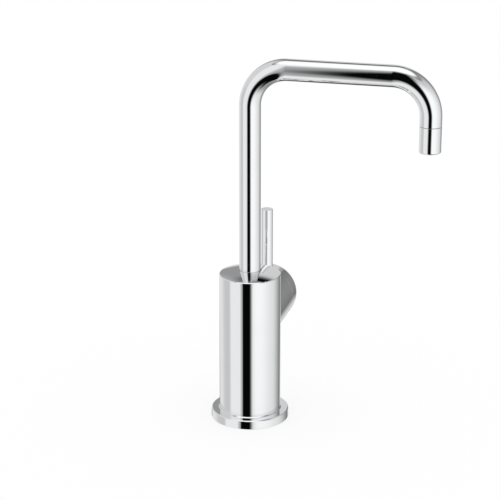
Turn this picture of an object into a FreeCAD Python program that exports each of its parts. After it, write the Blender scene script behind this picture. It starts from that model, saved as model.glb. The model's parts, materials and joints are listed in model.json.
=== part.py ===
import FreeCAD, Part
import math
import os
import re

import Sketcher

# Boiling water tap with a square swan spout and a side lever.
# Origin: centre of the base on the worktop. +X: the way the spout reaches. +Y: the valve and lever
# side. +Z: up. All sizes are in millimetres. "hub" is the horizontal round housing of the valve.

doc = FreeCAD.newDocument("boiling_water_tap")
sheet = doc.addObject("Spreadsheet::Sheet", "Sizes")

SIZES = {
    # clearances
    "run_fit": (0.05, "radial play of a turning or sliding fit"),
    "seat_fit": (0.05, "play between pieces pressed, screwed or laid together"),
    "free_gap": (0.3, "gap between pieces that pass each other"),
    "seam_gap": (0.2, "hairline between the hub and the lever cap"),
    # base flange and its gasket
    "flange_dia": (66, "base flange, across"),
    "flange_thick": (7.8, "base flange, height"),
    "flange_edge": (0.5, "bevel of the flange's rim"),
    "collar_width": (1, "bevelled collar round the foot of the body"),
    "collar_rise": (0.7, "height of that collar"),
    "gasket_inset": (3, "base gasket, from the flange's rim"),
    "gasket_width": (5, "base gasket, width of its ring"),
    "gasket_thick": (1.6, "base gasket, thickness"),
    "base_screw_dia": (4, "screws that hold the flange to the core"),
    "base_screw_head": (7, "their heads, across"),
    "base_screw_head_thick": (2.6, "their heads, height"),
    "base_screw_recess": (0.4, "how far the heads lie inside the flange"),
    "base_screw_bite": (5, "their grip in the core's foot"),
    "base_screw_key": (3.2, "hexagon sockets in their heads, across corners"),
    "base_screw_key_deep": (1.6, "depth of those sockets"),
    # outer body
    "body_dia": (52, "body shell, across"),
    "roof_rise": (37.5, "top face of the body above the hub's axis"),
    "body_wall": (2, "wall of the body shell"),
    "body_roof": (4, "roof of the body shell"),
    "body_edge": (0.6, "bevel round the roof"),
    "roof_dome": (4, "rise of the domed roof's middle above its rim"),
    "insulation_thick": (2, "insulating sleeve inside the shell"),
    # brass core with the waterways
    "boss_dia": (30, "boss of the core that fills the flange"),
    "foot_thick": (6, "foot of the core on the flange"),
    "column_dia": (28, "column of the core"),
    "pad_width": (32, "block that carries the valve, across"),
    "pad_face": (15, "block's face from the body's axis"),
    "pad_height": (40, "block's height"),
    "inlet_dia": (10, "threaded inlet for the boiling water hose"),
    "inlet_depth": (15, "depth of the inlet thread"),
    "relief_dia": (10.6, "relief groove at the end of the inlet thread"),
    "relief_length": (2, "length of that groove"),
    "waterway_dia": (7, "waterway up the core and through the carrier"),
    "cross_way_dia": (6, "waterway from the core to the carrier"),
    "stud_dia": (6, "threaded sockets for the fixing studs"),
    "stud_depth": (12, "depth of the stud sockets"),
    "stud_spacing": (21, "distance between the fixing studs"),
    # side hub and the valve carrier inside it
    "hub_dia": (50.5, "hub, across"),
    "hub_height": (91.5, "hub axis above the worktop"),
    "hub_wall": (2.5, "wall of the hub"),
    "hub_floor": (30, "hub's inner wall from the body's axis"),
    "hub_mouth": (50.8, "hub's open end from the body's axis"),
    "hub_edge": (0.15, "bevel of the hub's mouth"),
    "carrier_dia": (31, "valve carrier, across"),
    "carrier_end": (38, "outer end of the carrier from the body's axis"),
    "carrier_flange_dia": (39, "flange that clamps the hub to the body"),
    "carrier_flange_thick": (3.5, "thickness of that flange"),
    "spigot_dia": (16, "threaded spigot of the carrier in the core"),
    "spigot_length": (9, "length of the spigot"),
    "port_dia": (3.2, "return port for the opened water"),
    "port_circle": (23.4, "circle of the ring groove that feeds the return port"),
    "ring_groove_width": (4.2, "width of that ring groove"),
    "ring_groove_depth": (1.5, "depth of that ring groove"),
    "face_seal_cord": (1, "cord of the two seals on the carrier's face"),
    "chamber_dia": (21.2, "water chamber round the valve"),
    "chamber_length": (7, "length of the water chamber"),
    # ceramic valve
    "valve_thread_dia": (16.66, "valve body thread, 3/8 inch pipe"),
    "valve_floor": (21, "bottom of the valve socket from the body's axis"),
    "seal_thick": (1.6, "rubber seal under the fixed disc"),
    "seal_bore": (8, "bore of that seal"),
    "disc_dia": (13, "ceramic discs, across"),
    "disc_thick": (2.6, "ceramic discs, thickness"),
    "disc_hole_dia": (3.6, "water holes in the discs"),
    "disc_hole_circle": (7.4, "circle of the water holes"),
    "hex_flats": (19, "hexagon of the valve body, across flats"),
    "hex_thick": (6, "hexagon, thickness"),
    "neck_dia": (12, "neck of the valve body"),
    "neck_length": (5, "length of the neck"),
    "spindle_dia": (8, "spindle"),
    "spindle_flange_dia": (11, "flange at the spindle's foot"),
    "spindle_flange_thick": (2.6, "thickness of that flange"),
    "tongue_width": (3, "tongue that turns the moving disc"),
    "tongue_depth": (1.2, "height of the tongue"),
    "spindle_flat": (6.4, "spindle's driving end, across its flats"),
    "clip_thick": (0.8, "spring clip on the spindle"),
    "clip_dia": (11.5, "spring clip, across"),
    "clip_groove_dia": (6.6, "groove for that clip"),
    "clip_mouth": (5.2, "mouth of the clip"),
    "ring_cord": (1.5, "cord of the small sealing rings"),
    # lever cap and what turns with it
    "cap_thick": (13.6, "lever cap, along the hub"),
    "cap_edge": (0.6, "bevel of the cap's outer face"),
    "glide_wall": (4.2, "wall of the glide ring in the hub's mouth"),
    "glide_step": (1.5, "step from its outside to its nose in the cap"),
    "glide_nose": (0.9, "length of that nose"),
    "glide_length": (5, "length of the glide ring in the hub"),
    "drive_dia": (19, "drive collar, across"),
    "drive_length": (9.2, "drive collar, length"),
    "drive_floor": (1.3, "floor of the drive collar under its screw"),
    "drive_screw_dia": (4, "screw that holds the drive collar"),
    "drive_screw_head": (7, "its head, across"),
    "drive_screw_head_thick": (1.4, "its head, thickness"),
    "drive_screw_bite": (9, "its grip in the spindle"),
    "drive_screw_key": (3.2, "its hexagon socket, across corners"),
    "drive_screw_key_deep": (1, "depth of its socket"),
    "grub_dia": (3, "grub screw that keeps the cap on the drive collar"),
    "grub_length": (8, "grub screw, length"),
    "grub_tip_dia": (1.8, "tip of the grub screw"),
    "grub_groove": (1.3, "depth of the groove that the tip runs in"),
    "grub_place": (2.6, "grub screw from the cap's inner face"),
    "grub_key": (1.9, "grub screw's hexagon socket, across corners"),
    "grub_key_deep": (2.6, "depth of its socket"),
    # lever rod
    "rod_dia": (10.2, "lever rod, across"),
    "rod_out": (51.75, "length of the rod above the hub"),
    "rod_edge": (0.5, "bevel of the rod's top"),
    "rod_sink": (8, "how far the rod reaches into the cap at rest"),
    "rod_travel": (4, "how far the rod is pressed down"),
    "stem_dia": (3.6, "stem below the rod"),
    "stem_edge": (0.2, "bevel of the stem's lower end"),
    "stem_hole_floor": (1.3, "floor left round the spindle in the drive collar"),
    "bore_floor": (1.4, "wall under the rod's bore"),
    "pin_dia": (2, "stop pin beside the rod"),
    "pin_rise": (2.35, "stop pin above the rod's lower end"),
    "slot_depth": (2.1, "slot in the rod for the stop pin"),
    "spring_wire": (0.6, "wire of the return spring"),
    "spring_dia": (7.6, "return spring, through the wire's middle"),
    "spring_turns": (3.5, "turns of the return spring"),
    # spout
    "tube_dia": (18, "spout tube, across"),
    "tube_wall": (1.2, "wall of the spout tube"),
    "arm_height": (305.5, "axis of the spout's arm above the worktop"),
    "reach": (149.2, "outlet's axis from the body's axis"),
    "bend_radius": (31.4, "both bends, through the tube's middle"),
    "drop_length": (7.6, "straight end of the tube below the outer bend"),
    "joint_groove": (0.25, "fine groove at that joint"),
    "bush_length": (8, "swivel bush in the core"),
    "bush_wall": (2, "wall of the swivel bush"),
    "nipple_dia": (14, "spout nipple in the core"),
    "nipple_length": (12, "length of the nipple below the tube"),
    "nipple_spigot": (10, "length of the nipple inside the tube"),
    "nipple_hood": (2, "length of the nipple's bore below the liner"),
    "snap_thick": (1.2, "snap ring of the spout"),
    "snap_dia": (16.2, "snap ring, across"),
    "snap_bore": (12.6, "snap ring, bore"),
    "snap_mouth": (3.6, "gap in the snap ring"),
    "snap_drop": (2.3, "snap ring below the bush"),
    "first_ring_drop": (6, "upper sealing ring below the bush"),
    "ring_pitch": (3.3, "distance between the two sealing rings"),
    "liner_dia": (9, "inner tube that carries the boiling water"),
    "liner_wall": (1, "wall of the inner tube"),
    "spacer_length": (4, "spacers that centre the inner tube"),
    # outlet
    "outlet_length": (21.7, "outlet sleeve"),
    "outlet_round": (1.2, "rounding of the sleeve's lower edge"),
    "outlet_wall": (1.4, "wall of the sleeve"),
    "outlet_lip": (1.6, "height of the lip that holds the nozzle"),
    "outlet_mouth": (13.4, "clear mouth of the sleeve"),
    "ferrule_wall": (1.6, "threaded ferrule in the end of the tube"),
    "ferrule_up": (3.6, "ferrule inside the tube"),
    "ferrule_down": (8, "ferrule inside the sleeve"),
    "nozzle_length": (9, "flow straightener"),
    "nozzle_hole_dia": (1.7, "its holes"),
    "nozzle_ring_pitch": (2.5, "distance between its rings of holes"),
    "screen_thick": (0.5, "strainer above the flow straightener"),
    "screen_hole": (1.3, "its square holes"),
    "screen_pitch": (2.1, "distance between its holes"),
}

# Lengths that follow from the sizes, each named once.
PLACES = {
    "flange_r": "flange_dia / 2",
    "gasket_r": "flange_r - gasket_inset",
    "body_r": "body_dia / 2",
    "shell_in_r": "body_r - body_wall",
    "body_top": "hub_height + roof_rise",
    "roof_r": "body_r - body_edge",
    "roof_ball_r": "(roof_r * roof_r + roof_dome * roof_dome) / (2 * roof_dome)",
    "roof_crown": "body_top + roof_dome",
    "roof_under": "body_top - body_roof",
    "tube_r": "tube_dia / 2",
    "tube_in_r": "tube_r - tube_wall",
    "boss_r": "boss_dia / 2",
    "foot_top": "flange_thick + foot_thick",
    "screw_circle_r": "(boss_r + shell_in_r) / 2",
    "sleeve_out_r": "shell_in_r - seat_fit",
    "sleeve_in_r": "sleeve_out_r - insulation_thick",
    "core_top": "roof_under - seat_fit",
    "bush_seat": "core_top - bush_length",
    "bush_in_r": "tube_r + run_fit",
    "bush_out_r": "bush_in_r + bush_wall",
    "tube_foot": "bush_seat + free_gap",
    "nipple_r": "nipple_dia / 2",
    "nipple_foot": "tube_foot - nipple_length",
    "snap_top": "bush_seat - snap_drop",
    "liner_foot": "nipple_foot + nipple_hood + seat_fit",
    "socket_floor": "nipple_foot - free_gap",
    "port_r": "port_circle / 2",
    "groove_in_r": "port_r - ring_groove_width / 2",
    "groove_out_r": "port_r + ring_groove_width / 2",
    "inner_seal_r": "groove_in_r - seat_fit * 2 - face_seal_cord / 2",
    "outer_seal_r": "groove_out_r + seat_fit * 2 + face_seal_cord / 2",
    "hub_r": "hub_dia / 2",
    "hub_in_r": "hub_r - hub_wall",
    "carrier_r": "carrier_dia / 2",
    "carrier_foot": "pad_face - spigot_length",
    "valve_r": "valve_thread_dia / 2",
    "disc_r": "disc_dia / 2",
    "fixed_disc_at": "valve_floor + seal_thick",
    "moving_disc_at": "fixed_disc_at + disc_thick + run_fit",
    "spindle_foot": "moving_disc_at + disc_thick + seat_fit",
    "disc_room_end": "spindle_foot + spindle_flange_thick + free_gap",
    "neck_end": "carrier_end + hex_thick + neck_length",
    "clip_at": "neck_end + free_gap",
    "spindle_r": "spindle_dia / 2",
    "cap_at": "hub_mouth + seam_gap",
    "cap_end": "cap_at + cap_thick",
    "rod_at": "cap_at + cap_thick / 2",
    "drive_at": "cap_at + free_gap",
    "drive_r": "drive_dia / 2",
    "drive_end": "drive_at + drive_length",
    "drive_screw_seat": "drive_end - drive_screw_head_thick",
    "spindle_room_end": "drive_screw_seat - drive_floor",
    "spindle_end": "spindle_room_end - seat_fit",
    "grub_at": "cap_at + grub_place",
    "grub_groove_r": "drive_r - grub_groove",
    "glide_r": "hub_in_r - seat_fit",
    "glide_bore_r": "glide_r - glide_wall",
    "glide_nose_r": "glide_r - glide_step",
    "rod_r": "rod_dia / 2",
    "rod_top": "hub_height + hub_r + rod_out",
    "rod_foot": "hub_r - rod_sink",
    "bore_bottom": "drive_r + run_fit + bore_floor",
    "stem_foot": "drive_r + free_gap",
    "stem_hole_bottom": "spindle_r + seat_fit + stem_hole_floor",
    "pin_height": "rod_foot + pin_rise",
    "outlet_joint": "arm_height - bend_radius - drop_length",
    "outlet_foot": "outlet_joint - joint_groove - outlet_length",
    "nozzle_foot": "outlet_foot + outlet_lip",
    "nozzle_top": "nozzle_foot + nozzle_length",
    "sleeve_bore_r": "tube_r - outlet_wall",
    "ferrule_r": "tube_in_r - seat_fit",
    "ferrule_foot": "outlet_joint - ferrule_down",
}

for row, (alias, (number, note)) in enumerate(SIZES.items(), start=1):
    sheet.set("A%d" % row, note)
    sheet.set("B%d" % row, str(number))
    sheet.setAlias("B%d" % row, alias)
doc.recompute()

sub_parts = []


def bound(text):
    """Spell out named lengths as an expression on the sheet."""
    def word(match):
        name = match.group(0)
        if name in PLACES:
            return "(" + bound(PLACES[name]) + ")"
        return "Sizes." + name if name in SIZES else name
    return re.sub(r"[a-z][a-z_]*", word, text)


def length(text):
    """Number that a named length has now."""
    return float(sheet.evalExpression(bound(text)))


def tie(thing, settings):
    """Bind properties of one object to named lengths."""
    for name, text in settings.items():
        thing.setExpression(name, bound(text))
    return thing


def keep(thing, node):
    """Enter a finished piece under its node's name."""
    thing.Label = node
    sub_parts.append(thing)
    return thing


def plane(body, role):
    return next(item for item in body.Origin.OriginFeatures if item.Role == role)


def new_sketch(body, role, name):
    sketch = body.newObject("Sketcher::SketchObject", name)
    sketch.AttachmentSupport = [(plane(body, role), "")]
    sketch.MapMode = "FlatFace"
    return sketch


def pin_down(sketch, edge, point, across, up):
    """Place one point of a sketch: across and up from the origin."""
    for kind, text, axis in (("DistanceX", across, -2), ("DistanceY", up, -1)):
        if text == "0":
            sketch.addConstraint(Sketcher.Constraint("PointOnObject", edge, point, axis))
            continue
        index = sketch.addConstraint(Sketcher.Constraint(kind, -1, 1, edge, point, length(text)))
        sketch.setExpression("Constraints[%d]" % index, bound(text))


def outline(sketch, points):
    """Closed outline of straight edges through (across, up) points."""
    spots = [FreeCAD.Vector(length(across), length(up), 0) for across, up in points]
    count = len(spots)
    for i in range(count):
        sketch.addGeometry(Part.LineSegment(spots[i], spots[(i + 1) % count]))
    for i in range(count):
        sketch.addConstraint(Sketcher.Constraint("Coincident", i, 2, (i + 1) % count, 1))
    for i, (across, up) in enumerate(points):
        pin_down(sketch, i, 1, across, up)


def turned(name, points):
    """Round piece: an outline of (radius, distance along the axis) points, turned about the axis."""
    body = doc.addObject("PartDesign::Body", name)
    sketch = new_sketch(body, "XZ_Plane", name + "_profile")
    outline(sketch, points)
    turn = body.newObject("PartDesign::Revolution", name + "_turn")
    turn.Profile = sketch
    turn.ReferenceAxis = (sketch, ["V_Axis"])
    turn.Angle = 360
    return body


def ring(name, inner, outer, start, end):
    """Plain ring or disc between two radii and two distances along the axis."""
    return turned(name, [(inner, start), (outer, start), (outer, end), (inner, end)])


ALONG = {
    "X": FreeCAD.Rotation(FreeCAD.Vector(0, 1, 0), 90),
    "Y": FreeCAD.Rotation(FreeCAD.Vector(1, 0, 0), -90),
    "Z": FreeCAD.Rotation(),
}


def lay(thing, along="Z", x="0", y="0", z="0"):
    """Turn a piece's own axis along X, Y or Z and set its place by named lengths."""
    thing.Placement = FreeCAD.Placement(FreeCAD.Vector(length(x), length(y), length(z)), ALONG[along])
    for axis, text in (("x", x), ("y", y), ("z", z)):
        if text != "0":
            thing.setExpression("Placement.Base." + axis, bound(text))
    return thing


def on_hub(thing):
    """Pieces of the valve and lever cap are turned about the hub's axis."""
    return lay(thing, "Y", z="hub_height")


def on_outlet(thing):
    return lay(thing, x="reach")


def cylinder(name, radius, height, along="Z", x="0", y="0", z="0"):
    solid = doc.addObject("Part::Cylinder", name)
    tie(solid, {"Radius": radius, "Height": height})
    return lay(solid, along, x, y, z)


def block(name, size_x, size_y, size_z, x, y, z):
    """Block given by its three sizes and its lowest corner."""
    solid = doc.addObject("Part::Box", name)
    tie(solid, {"Length": size_x, "Width": size_y, "Height": size_z})
    return lay(solid, "Z", x, y, z)


def hexagon(name, corners, height, along="Z", x="0", y="0", z="0"):
    """Hexagonal bar, across its corners."""
    solid = doc.addObject("Part::Prism", name)
    solid.Polygon = 6
    tie(solid, {"Circumradius": "(%s) / 2" % corners, "Height": height})
    return lay(solid, along, x, y, z)


def sealing_ring(name, middle_radius, cord, along, x="0", y="0", z="0"):
    """Sealing ring of round cord."""
    solid = doc.addObject("Part::Torus", name)
    tie(solid, {"Radius1": middle_radius, "Radius2": cord + " / 2"})
    return lay(solid, along, x, y, z)


def cut(name, base, tools):
    """Take one or more tools away from a piece."""
    tool = tools[0]
    if len(tools) > 1:
        tool = doc.addObject("Part::MultiFuse", name + "_tools")
        tool.Shapes = tools
    result = doc.addObject("Part::Cut", name)
    result.Base = base
    result.Tool = tool
    return result


def common(name, base, tool):
    """Keep only what two pieces share."""
    result = doc.addObject("Part::Common", name)
    result.Base = base
    result.Tool = tool
    return result


def fuse(name, pieces):
    result = doc.addObject("Part::MultiFuse", name)
    result.Shapes = pieces
    return result


def group(name, pieces):
    """Alike pieces that share one node as separate solids."""
    result = doc.addObject("Part::Compound", name)
    result.Links = pieces
    return result


# ---------------------------------------------------------------- base

SCREW_TURNS = (90, 210, 330)     # where the base screws stand, in degrees from the spout


def screw_spot(turn):
    return "screw_circle_r * cos(%d deg)" % turn, "screw_circle_r * sin(%d deg)" % turn


def make_base_flange():
    blank = turned("base_flange_blank", [
        ("boss_r + seat_fit", "0"),
        ("gasket_r - gasket_width - seat_fit", "0"),
        ("gasket_r - gasket_width - seat_fit", "gasket_thick + seat_fit"),
        ("gasket_r + seat_fit", "gasket_thick + seat_fit"),
        ("gasket_r + seat_fit", "0"),
        ("flange_r - flange_edge / 2", "0"),
        ("flange_r", "flange_edge / 2"),
        ("flange_r", "flange_thick - flange_edge"),
        ("flange_r - flange_edge", "flange_thick"),
        ("body_r + collar_width", "flange_thick"),
        ("body_r + seat_fit", "flange_thick + collar_rise"),
        ("body_r + seat_fit", "flange_thick"),
        ("boss_r + seat_fit", "flange_thick"),
    ])
    tools = []
    for number, turn in enumerate(SCREW_TURNS):
        x, y = screw_spot(turn)
        tools.append(cylinder("flange_hole_%d" % number, "base_screw_dia / 2 + seat_fit",
                              "flange_thick + foot_thick", x=x, y=y))
        tools.append(cylinder("flange_counterbore_%d" % number, "base_screw_head / 2 + seat_fit",
                              "base_screw_recess + base_screw_head_thick", x=x, y=y))
    keep(cut("base_flange_drilled", blank, tools), "base_flange")


def make_base_gasket():
    keep(ring("base_gasket_ring", "gasket_r - gasket_width", "gasket_r", "0", "gasket_thick"),
         "base_gasket")


def make_base_screws():
    screws = []
    for number, turn in enumerate(SCREW_TURNS):
        x, y = screw_spot(turn)
        head = cylinder("base_screw_head_%d" % number, "base_screw_head / 2",
                        "base_screw_head_thick", x=x, y=y, z="base_screw_recess")
        shank = cylinder("base_screw_shank_%d" % number, "base_screw_dia / 2",
                         "flange_thick + base_screw_bite - base_screw_recess",
                         x=x, y=y, z="base_screw_recess")
        key = hexagon("base_screw_socket_%d" % number, "base_screw_key", "base_screw_key_deep",
                      x=x, y=y, z="base_screw_recess")
        solid = fuse("base_screw_solid_%d" % number, [head, shank])
        screws.append(cut("base_screw_%d" % number, solid, [key]))
    keep(group("base_screw_set", screws), "base_screws")


# ---------------------------------------------------------------- outer body

def make_body_shell():
    """Tube with a roof that a large ball rounds to a dome."""
    blank = turned("body_shell_blank", [
        ("shell_in_r", "flange_thick + seat_fit"),
        ("body_r", "flange_thick + seat_fit"),
        ("body_r", "body_top - body_edge"),
        ("roof_r", "body_top"),
        ("roof_r", "roof_crown"),
        ("tube_r + free_gap", "roof_crown"),
        ("tube_r + free_gap", "roof_under"),
        ("shell_in_r", "roof_under"),
    ])
    ball = doc.addObject("Part::Sphere", "roof_ball")
    tie(ball, {"Radius": "roof_ball_r"})
    lay(ball, z="roof_crown - roof_ball_r")
    port = cylinder("shell_port", "carrier_r + seat_fit", "body_r * 2", "Y", z="hub_height")
    domed = common("body_shell_domed", blank, ball)
    keep(cut("body_shell_ported", domed, [port]), "body_shell")


def make_insulation_sleeve():
    blank = ring("insulation_blank", "sleeve_in_r", "sleeve_out_r", "foot_top + seat_fit",
                 "roof_under - seat_fit")
    port = cylinder("sleeve_port", "carrier_r + seat_fit", "body_r * 2", "Y", z="hub_height")
    keep(cut("insulation_ported", blank, [port]), "insulation_sleeve")


def make_core():
    column = turned("core_column", [
        ("0", "0"),
        ("boss_r", "0"),
        ("boss_r", "flange_thick"),
        ("shell_in_r - seat_fit", "flange_thick"),
        ("shell_in_r - seat_fit", "foot_top"),
        ("column_dia / 2", "foot_top"),
        ("column_dia / 2", "core_top"),
        ("0", "core_top"),
    ])
    pad = block("core_pad", "pad_width", "pad_face * 2", "pad_height",
                "-pad_width / 2", "-pad_face", "hub_height - pad_height / 2")
    room = cylinder("core_room", "sleeve_in_r - seat_fit", "body_top")
    solid = fuse("core_solid", [column, common("core_pad_fitted", pad, room)])
    way = "waterway_dia / 2"
    outlet_level = "hub_height + port_r"
    tools = [
        cylinder("inlet_thread", "inlet_dia / 2", "inlet_depth"),
        cylinder("inlet_relief", "relief_dia / 2", "relief_length", z="inlet_depth"),
        cylinder("inlet_way", way, "hub_height + waterway_dia / 2"),
        cylinder("spigot_hole", "spigot_dia / 2 + seat_fit", "body_r", "Y",
                 y="carrier_foot - seat_fit", z="hub_height"),
        cylinder("cross_way", "cross_way_dia / 2", "pad_face", "Y", z="hub_height"),
        cylinder("return_way", "port_dia / 2", "body_r", "Y", z=outlet_level),
        cylinder("rising_way", way, "column_dia", z=outlet_level + " - port_dia"),
        cylinder("nipple_socket", "nipple_r + run_fit", "column_dia", z="socket_floor"),
        cylinder("snap_groove", "snap_dia / 2 + free_gap", "snap_thick + free_gap * 2",
                 z="snap_top - snap_thick - free_gap"),
        cylinder("bush_socket", "bush_out_r + seat_fit", "column_dia", z="bush_seat"),
        on_hub(ring("ring_groove", "groove_in_r", "groove_out_r",
                    "pad_face - ring_groove_depth", "pad_face + ring_groove_depth")),
    ]
    for side in (-1, 1):
        tools.append(cylinder("stud_socket_%d" % (side + 1), "stud_dia / 2", "stud_depth",
                              x="%d * stud_spacing / 2" % side))
    for number, turn in enumerate(SCREW_TURNS):
        x, y = screw_spot(turn)
        tools.append(cylinder("foot_thread_%d" % number, "base_screw_dia / 2 + seat_fit",
                              "foot_top", x=x, y=y))
    keep(cut("core_drilled", solid, tools), "valve_core")


# ---------------------------------------------------------------- hub and valve

def make_hub_housing():
    blank = turned("hub_blank", [
        ("carrier_r + seat_fit", "0"),
        ("hub_r", "0"),
        ("hub_r", "hub_mouth - hub_edge"),
        ("hub_r - hub_edge", "hub_mouth"),
        ("hub_in_r", "hub_mouth"),
        ("hub_in_r", "hub_floor"),
        ("carrier_r + seat_fit", "hub_floor"),
    ])
    saddle = cylinder("hub_saddle", "body_r + seat_fit", "body_top")
    keep(cut("hub_saddled", on_hub(blank), [saddle]), "hub_housing")


def make_valve_carrier():
    blank = turned("carrier_blank", [
        ("waterway_dia / 2", "carrier_foot"),
        ("spigot_dia / 2", "carrier_foot"),
        ("spigot_dia / 2", "pad_face + seat_fit"),
        ("carrier_r", "pad_face + seat_fit"),
        ("carrier_r", "hub_floor + seat_fit"),
        ("carrier_flange_dia / 2", "hub_floor + seat_fit"),
        ("carrier_flange_dia / 2", "hub_floor + seat_fit + carrier_flange_thick"),
        ("carrier_r", "hub_floor + seat_fit + carrier_flange_thick"),
        ("carrier_r", "carrier_end"),
        ("valve_r + seat_fit", "carrier_end"),
        ("valve_r + seat_fit", "valve_floor + chamber_length"),
        ("chamber_dia / 2", "valve_floor + chamber_length"),
        ("chamber_dia / 2", "valve_floor"),
        ("waterway_dia / 2", "valve_floor"),
    ])
    port = cylinder("carrier_port", "port_dia / 2", "valve_floor + chamber_length / 2 - pad_face",
                    "Y", y="pad_face", z="hub_height + port_r")
    grooves = []
    for number, middle in enumerate(("inner_seal_r", "outer_seal_r")):
        grooves.append(on_hub(ring("carrier_groove_%d" % number,
                                   middle + " - face_seal_cord / 2 - seat_fit",
                                   middle + " + face_seal_cord / 2 + seat_fit",
                                   "pad_face", "pad_face + face_seal_cord + seat_fit * 2")))
    keep(cut("carrier_drilled", on_hub(blank), [port] + grooves), "valve_carrier")


def make_carrier_seals():
    rings = []
    for number, middle in enumerate(("inner_seal_r", "outer_seal_r")):
        rings.append(sealing_ring("carrier_seal_%d" % number, middle, "face_seal_cord", "Y",
                                  y="pad_face + seat_fit + face_seal_cord / 2", z="hub_height"))
    keep(group("carrier_seal_set", rings), "carrier_seals")


def make_disc_seal():
    keep(on_hub(ring("disc_seal_ring", "seal_bore / 2", "valve_r - seat_fit",
                     "valve_floor + seat_fit", "fixed_disc_at")), "disc_seal")


def disc_holes(name, along):
    """Two water holes on opposite sides of a disc, in a row along X or along Z."""
    holes = []
    for side in (-1, 1):
        off = "%d * disc_hole_circle / 2" % side
        x, z = (off, "hub_height") if along == "X" else ("0", "hub_height + " + off)
        holes.append(cylinder("%s_hole_%d" % (name, side + 1), "disc_hole_dia / 2",
                              "valve_floor * 2", "Y", x=x, z=z))
    return holes


def make_ceramic_discs():
    fixed = on_hub(ring("fixed_disc_blank", "0", "disc_r", "fixed_disc_at + seat_fit",
                        "fixed_disc_at + disc_thick"))
    keep(cut("fixed_disc_drilled", fixed, disc_holes("fixed_disc", "Z")), "ceramic_disc_fixed")
    moving = on_hub(ring("moving_disc_blank", "0", "disc_r", "moving_disc_at",
                         "moving_disc_at + disc_thick"))
    slot = block("moving_disc_slot", "disc_dia * 2", "disc_dia", "tongue_width + seat_fit * 2",
                 "-disc_dia", "spindle_foot - tongue_depth - seat_fit * 2",
                 "hub_height - tongue_width / 2 - seat_fit")
    keep(cut("moving_disc_drilled", moving, disc_holes("moving_disc", "X") + [slot]),
         "ceramic_disc_moving")


def make_valve_body():
    barrel = turned("valve_barrel", [
        ("disc_r + run_fit", "fixed_disc_at + seat_fit"),
        ("valve_r", "fixed_disc_at + seat_fit"),
        ("valve_r", "carrier_end + seat_fit"),
        ("neck_dia / 2", "carrier_end + seat_fit"),
        ("neck_dia / 2", "neck_end"),
        ("spindle_r + run_fit", "neck_end"),
        ("spindle_r + run_fit", "disc_room_end"),
        ("disc_r + run_fit", "disc_room_end"),
    ])
    nut = hexagon("valve_hexagon", "hex_flats / cos(30 deg)", "hex_thick", "Y",
                  y="carrier_end + seat_fit", z="hub_height")
    solid = fuse("valve_body_solid", [on_hub(barrel), nut])
    bore = cylinder("valve_bore", "spindle_r + run_fit", "neck_end", "Y",
                    y="fixed_disc_at", z="hub_height")
    windows = block("valve_windows", "valve_thread_dia * 2", "spindle_flange_thick", "neck_dia / 2",
                    "-valve_thread_dia", "spindle_foot", "hub_height - neck_dia / 4")
    keep(cut("valve_body_cut", solid, [bore, windows]), "valve_body")


RING_PLACES = ("carrier_end - ring_cord * 2", "carrier_end + ring_cord")   # rings on the spindle


def make_spindle():
    groove_r = "spindle_r - ring_cord"
    points = [("0", "spindle_foot"),
              ("spindle_flange_dia / 2", "spindle_foot"),
              ("spindle_flange_dia / 2", "spindle_foot + spindle_flange_thick"),
              ("spindle_r", "spindle_foot + spindle_flange_thick")]
    for place in RING_PLACES:
        points += [("spindle_r", place + " - ring_cord / 2 - seat_fit"),
                   (groove_r, place + " - ring_cord / 2 - seat_fit"),
                   (groove_r, place + " + ring_cord / 2 + seat_fit"),
                   ("spindle_r", place + " + ring_cord / 2 + seat_fit")]
    points += [("spindle_r", "clip_at - seat_fit"),
               ("clip_groove_dia / 2", "clip_at - seat_fit"),
               ("clip_groove_dia / 2", "clip_at + clip_thick + seat_fit"),
               ("spindle_r", "clip_at + clip_thick + seat_fit"),
               ("spindle_r", "spindle_end"),
               ("0", "spindle_end")]
    tongue = block("spindle_tongue", "spindle_flange_dia - tongue_width", "tongue_depth + seat_fit",
                   "tongue_width", "tongue_width / 2 - spindle_flange_dia / 2",
                   "spindle_foot - tongue_depth", "hub_height - tongue_width / 2")
    solid = fuse("spindle_solid", [on_hub(turned("spindle_blank", points)), tongue])
    thread = cylinder("spindle_thread", "drive_screw_dia / 2 + seat_fit", "drive_screw_bite", "Y",
                      y="spindle_end - drive_screw_bite", z="hub_height")
    flats = []
    for side in (-1, 1):
        flats.append(block("spindle_flat_%d" % (side + 1), "spindle_dia", "drive_length",
                           "spindle_dia", "%d * (spindle_flat / 2 + spindle_r) - spindle_r" % side,
                           "drive_at - seat_fit", "hub_height - spindle_r"))
    keep(cut("spindle_cut", solid, [thread] + flats), "valve_spindle")


def make_spindle_rings():
    rings = []
    for number, place in enumerate(RING_PLACES):
        rings.append(sealing_ring("spindle_ring_%d" % number,
                                  "spindle_r + run_fit / 2 - ring_cord / 2", "ring_cord",
                                  "Y", y=place, z="hub_height"))
    keep(group("spindle_ring_set", rings), "spindle_rings")


def make_spindle_clip():
    whole = on_hub(ring("clip_ring", "clip_groove_dia / 2 + seat_fit", "clip_dia / 2", "clip_at",
                        "clip_at + clip_thick"))
    gap = block("clip_gap", "clip_mouth", "clip_thick * 3", "clip_dia",
                "-clip_mouth / 2", "clip_at - clip_thick", "hub_height - clip_dia")
    keep(cut("clip_cut", whole, [gap]), "spindle_clip")


# ---------------------------------------------------------------- lever cap

def make_glide_ring():
    keep(on_hub(turned("glide_ring_turned", [
        ("glide_bore_r", "hub_mouth - glide_length"),
        ("glide_r", "hub_mouth - glide_length"),
        ("glide_r", "hub_mouth"),
        ("glide_nose_r", "hub_mouth"),
        ("glide_nose_r", "hub_mouth + glide_nose"),
        ("glide_bore_r", "hub_mouth + glide_nose"),
    ])), "glide_ring")


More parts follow.
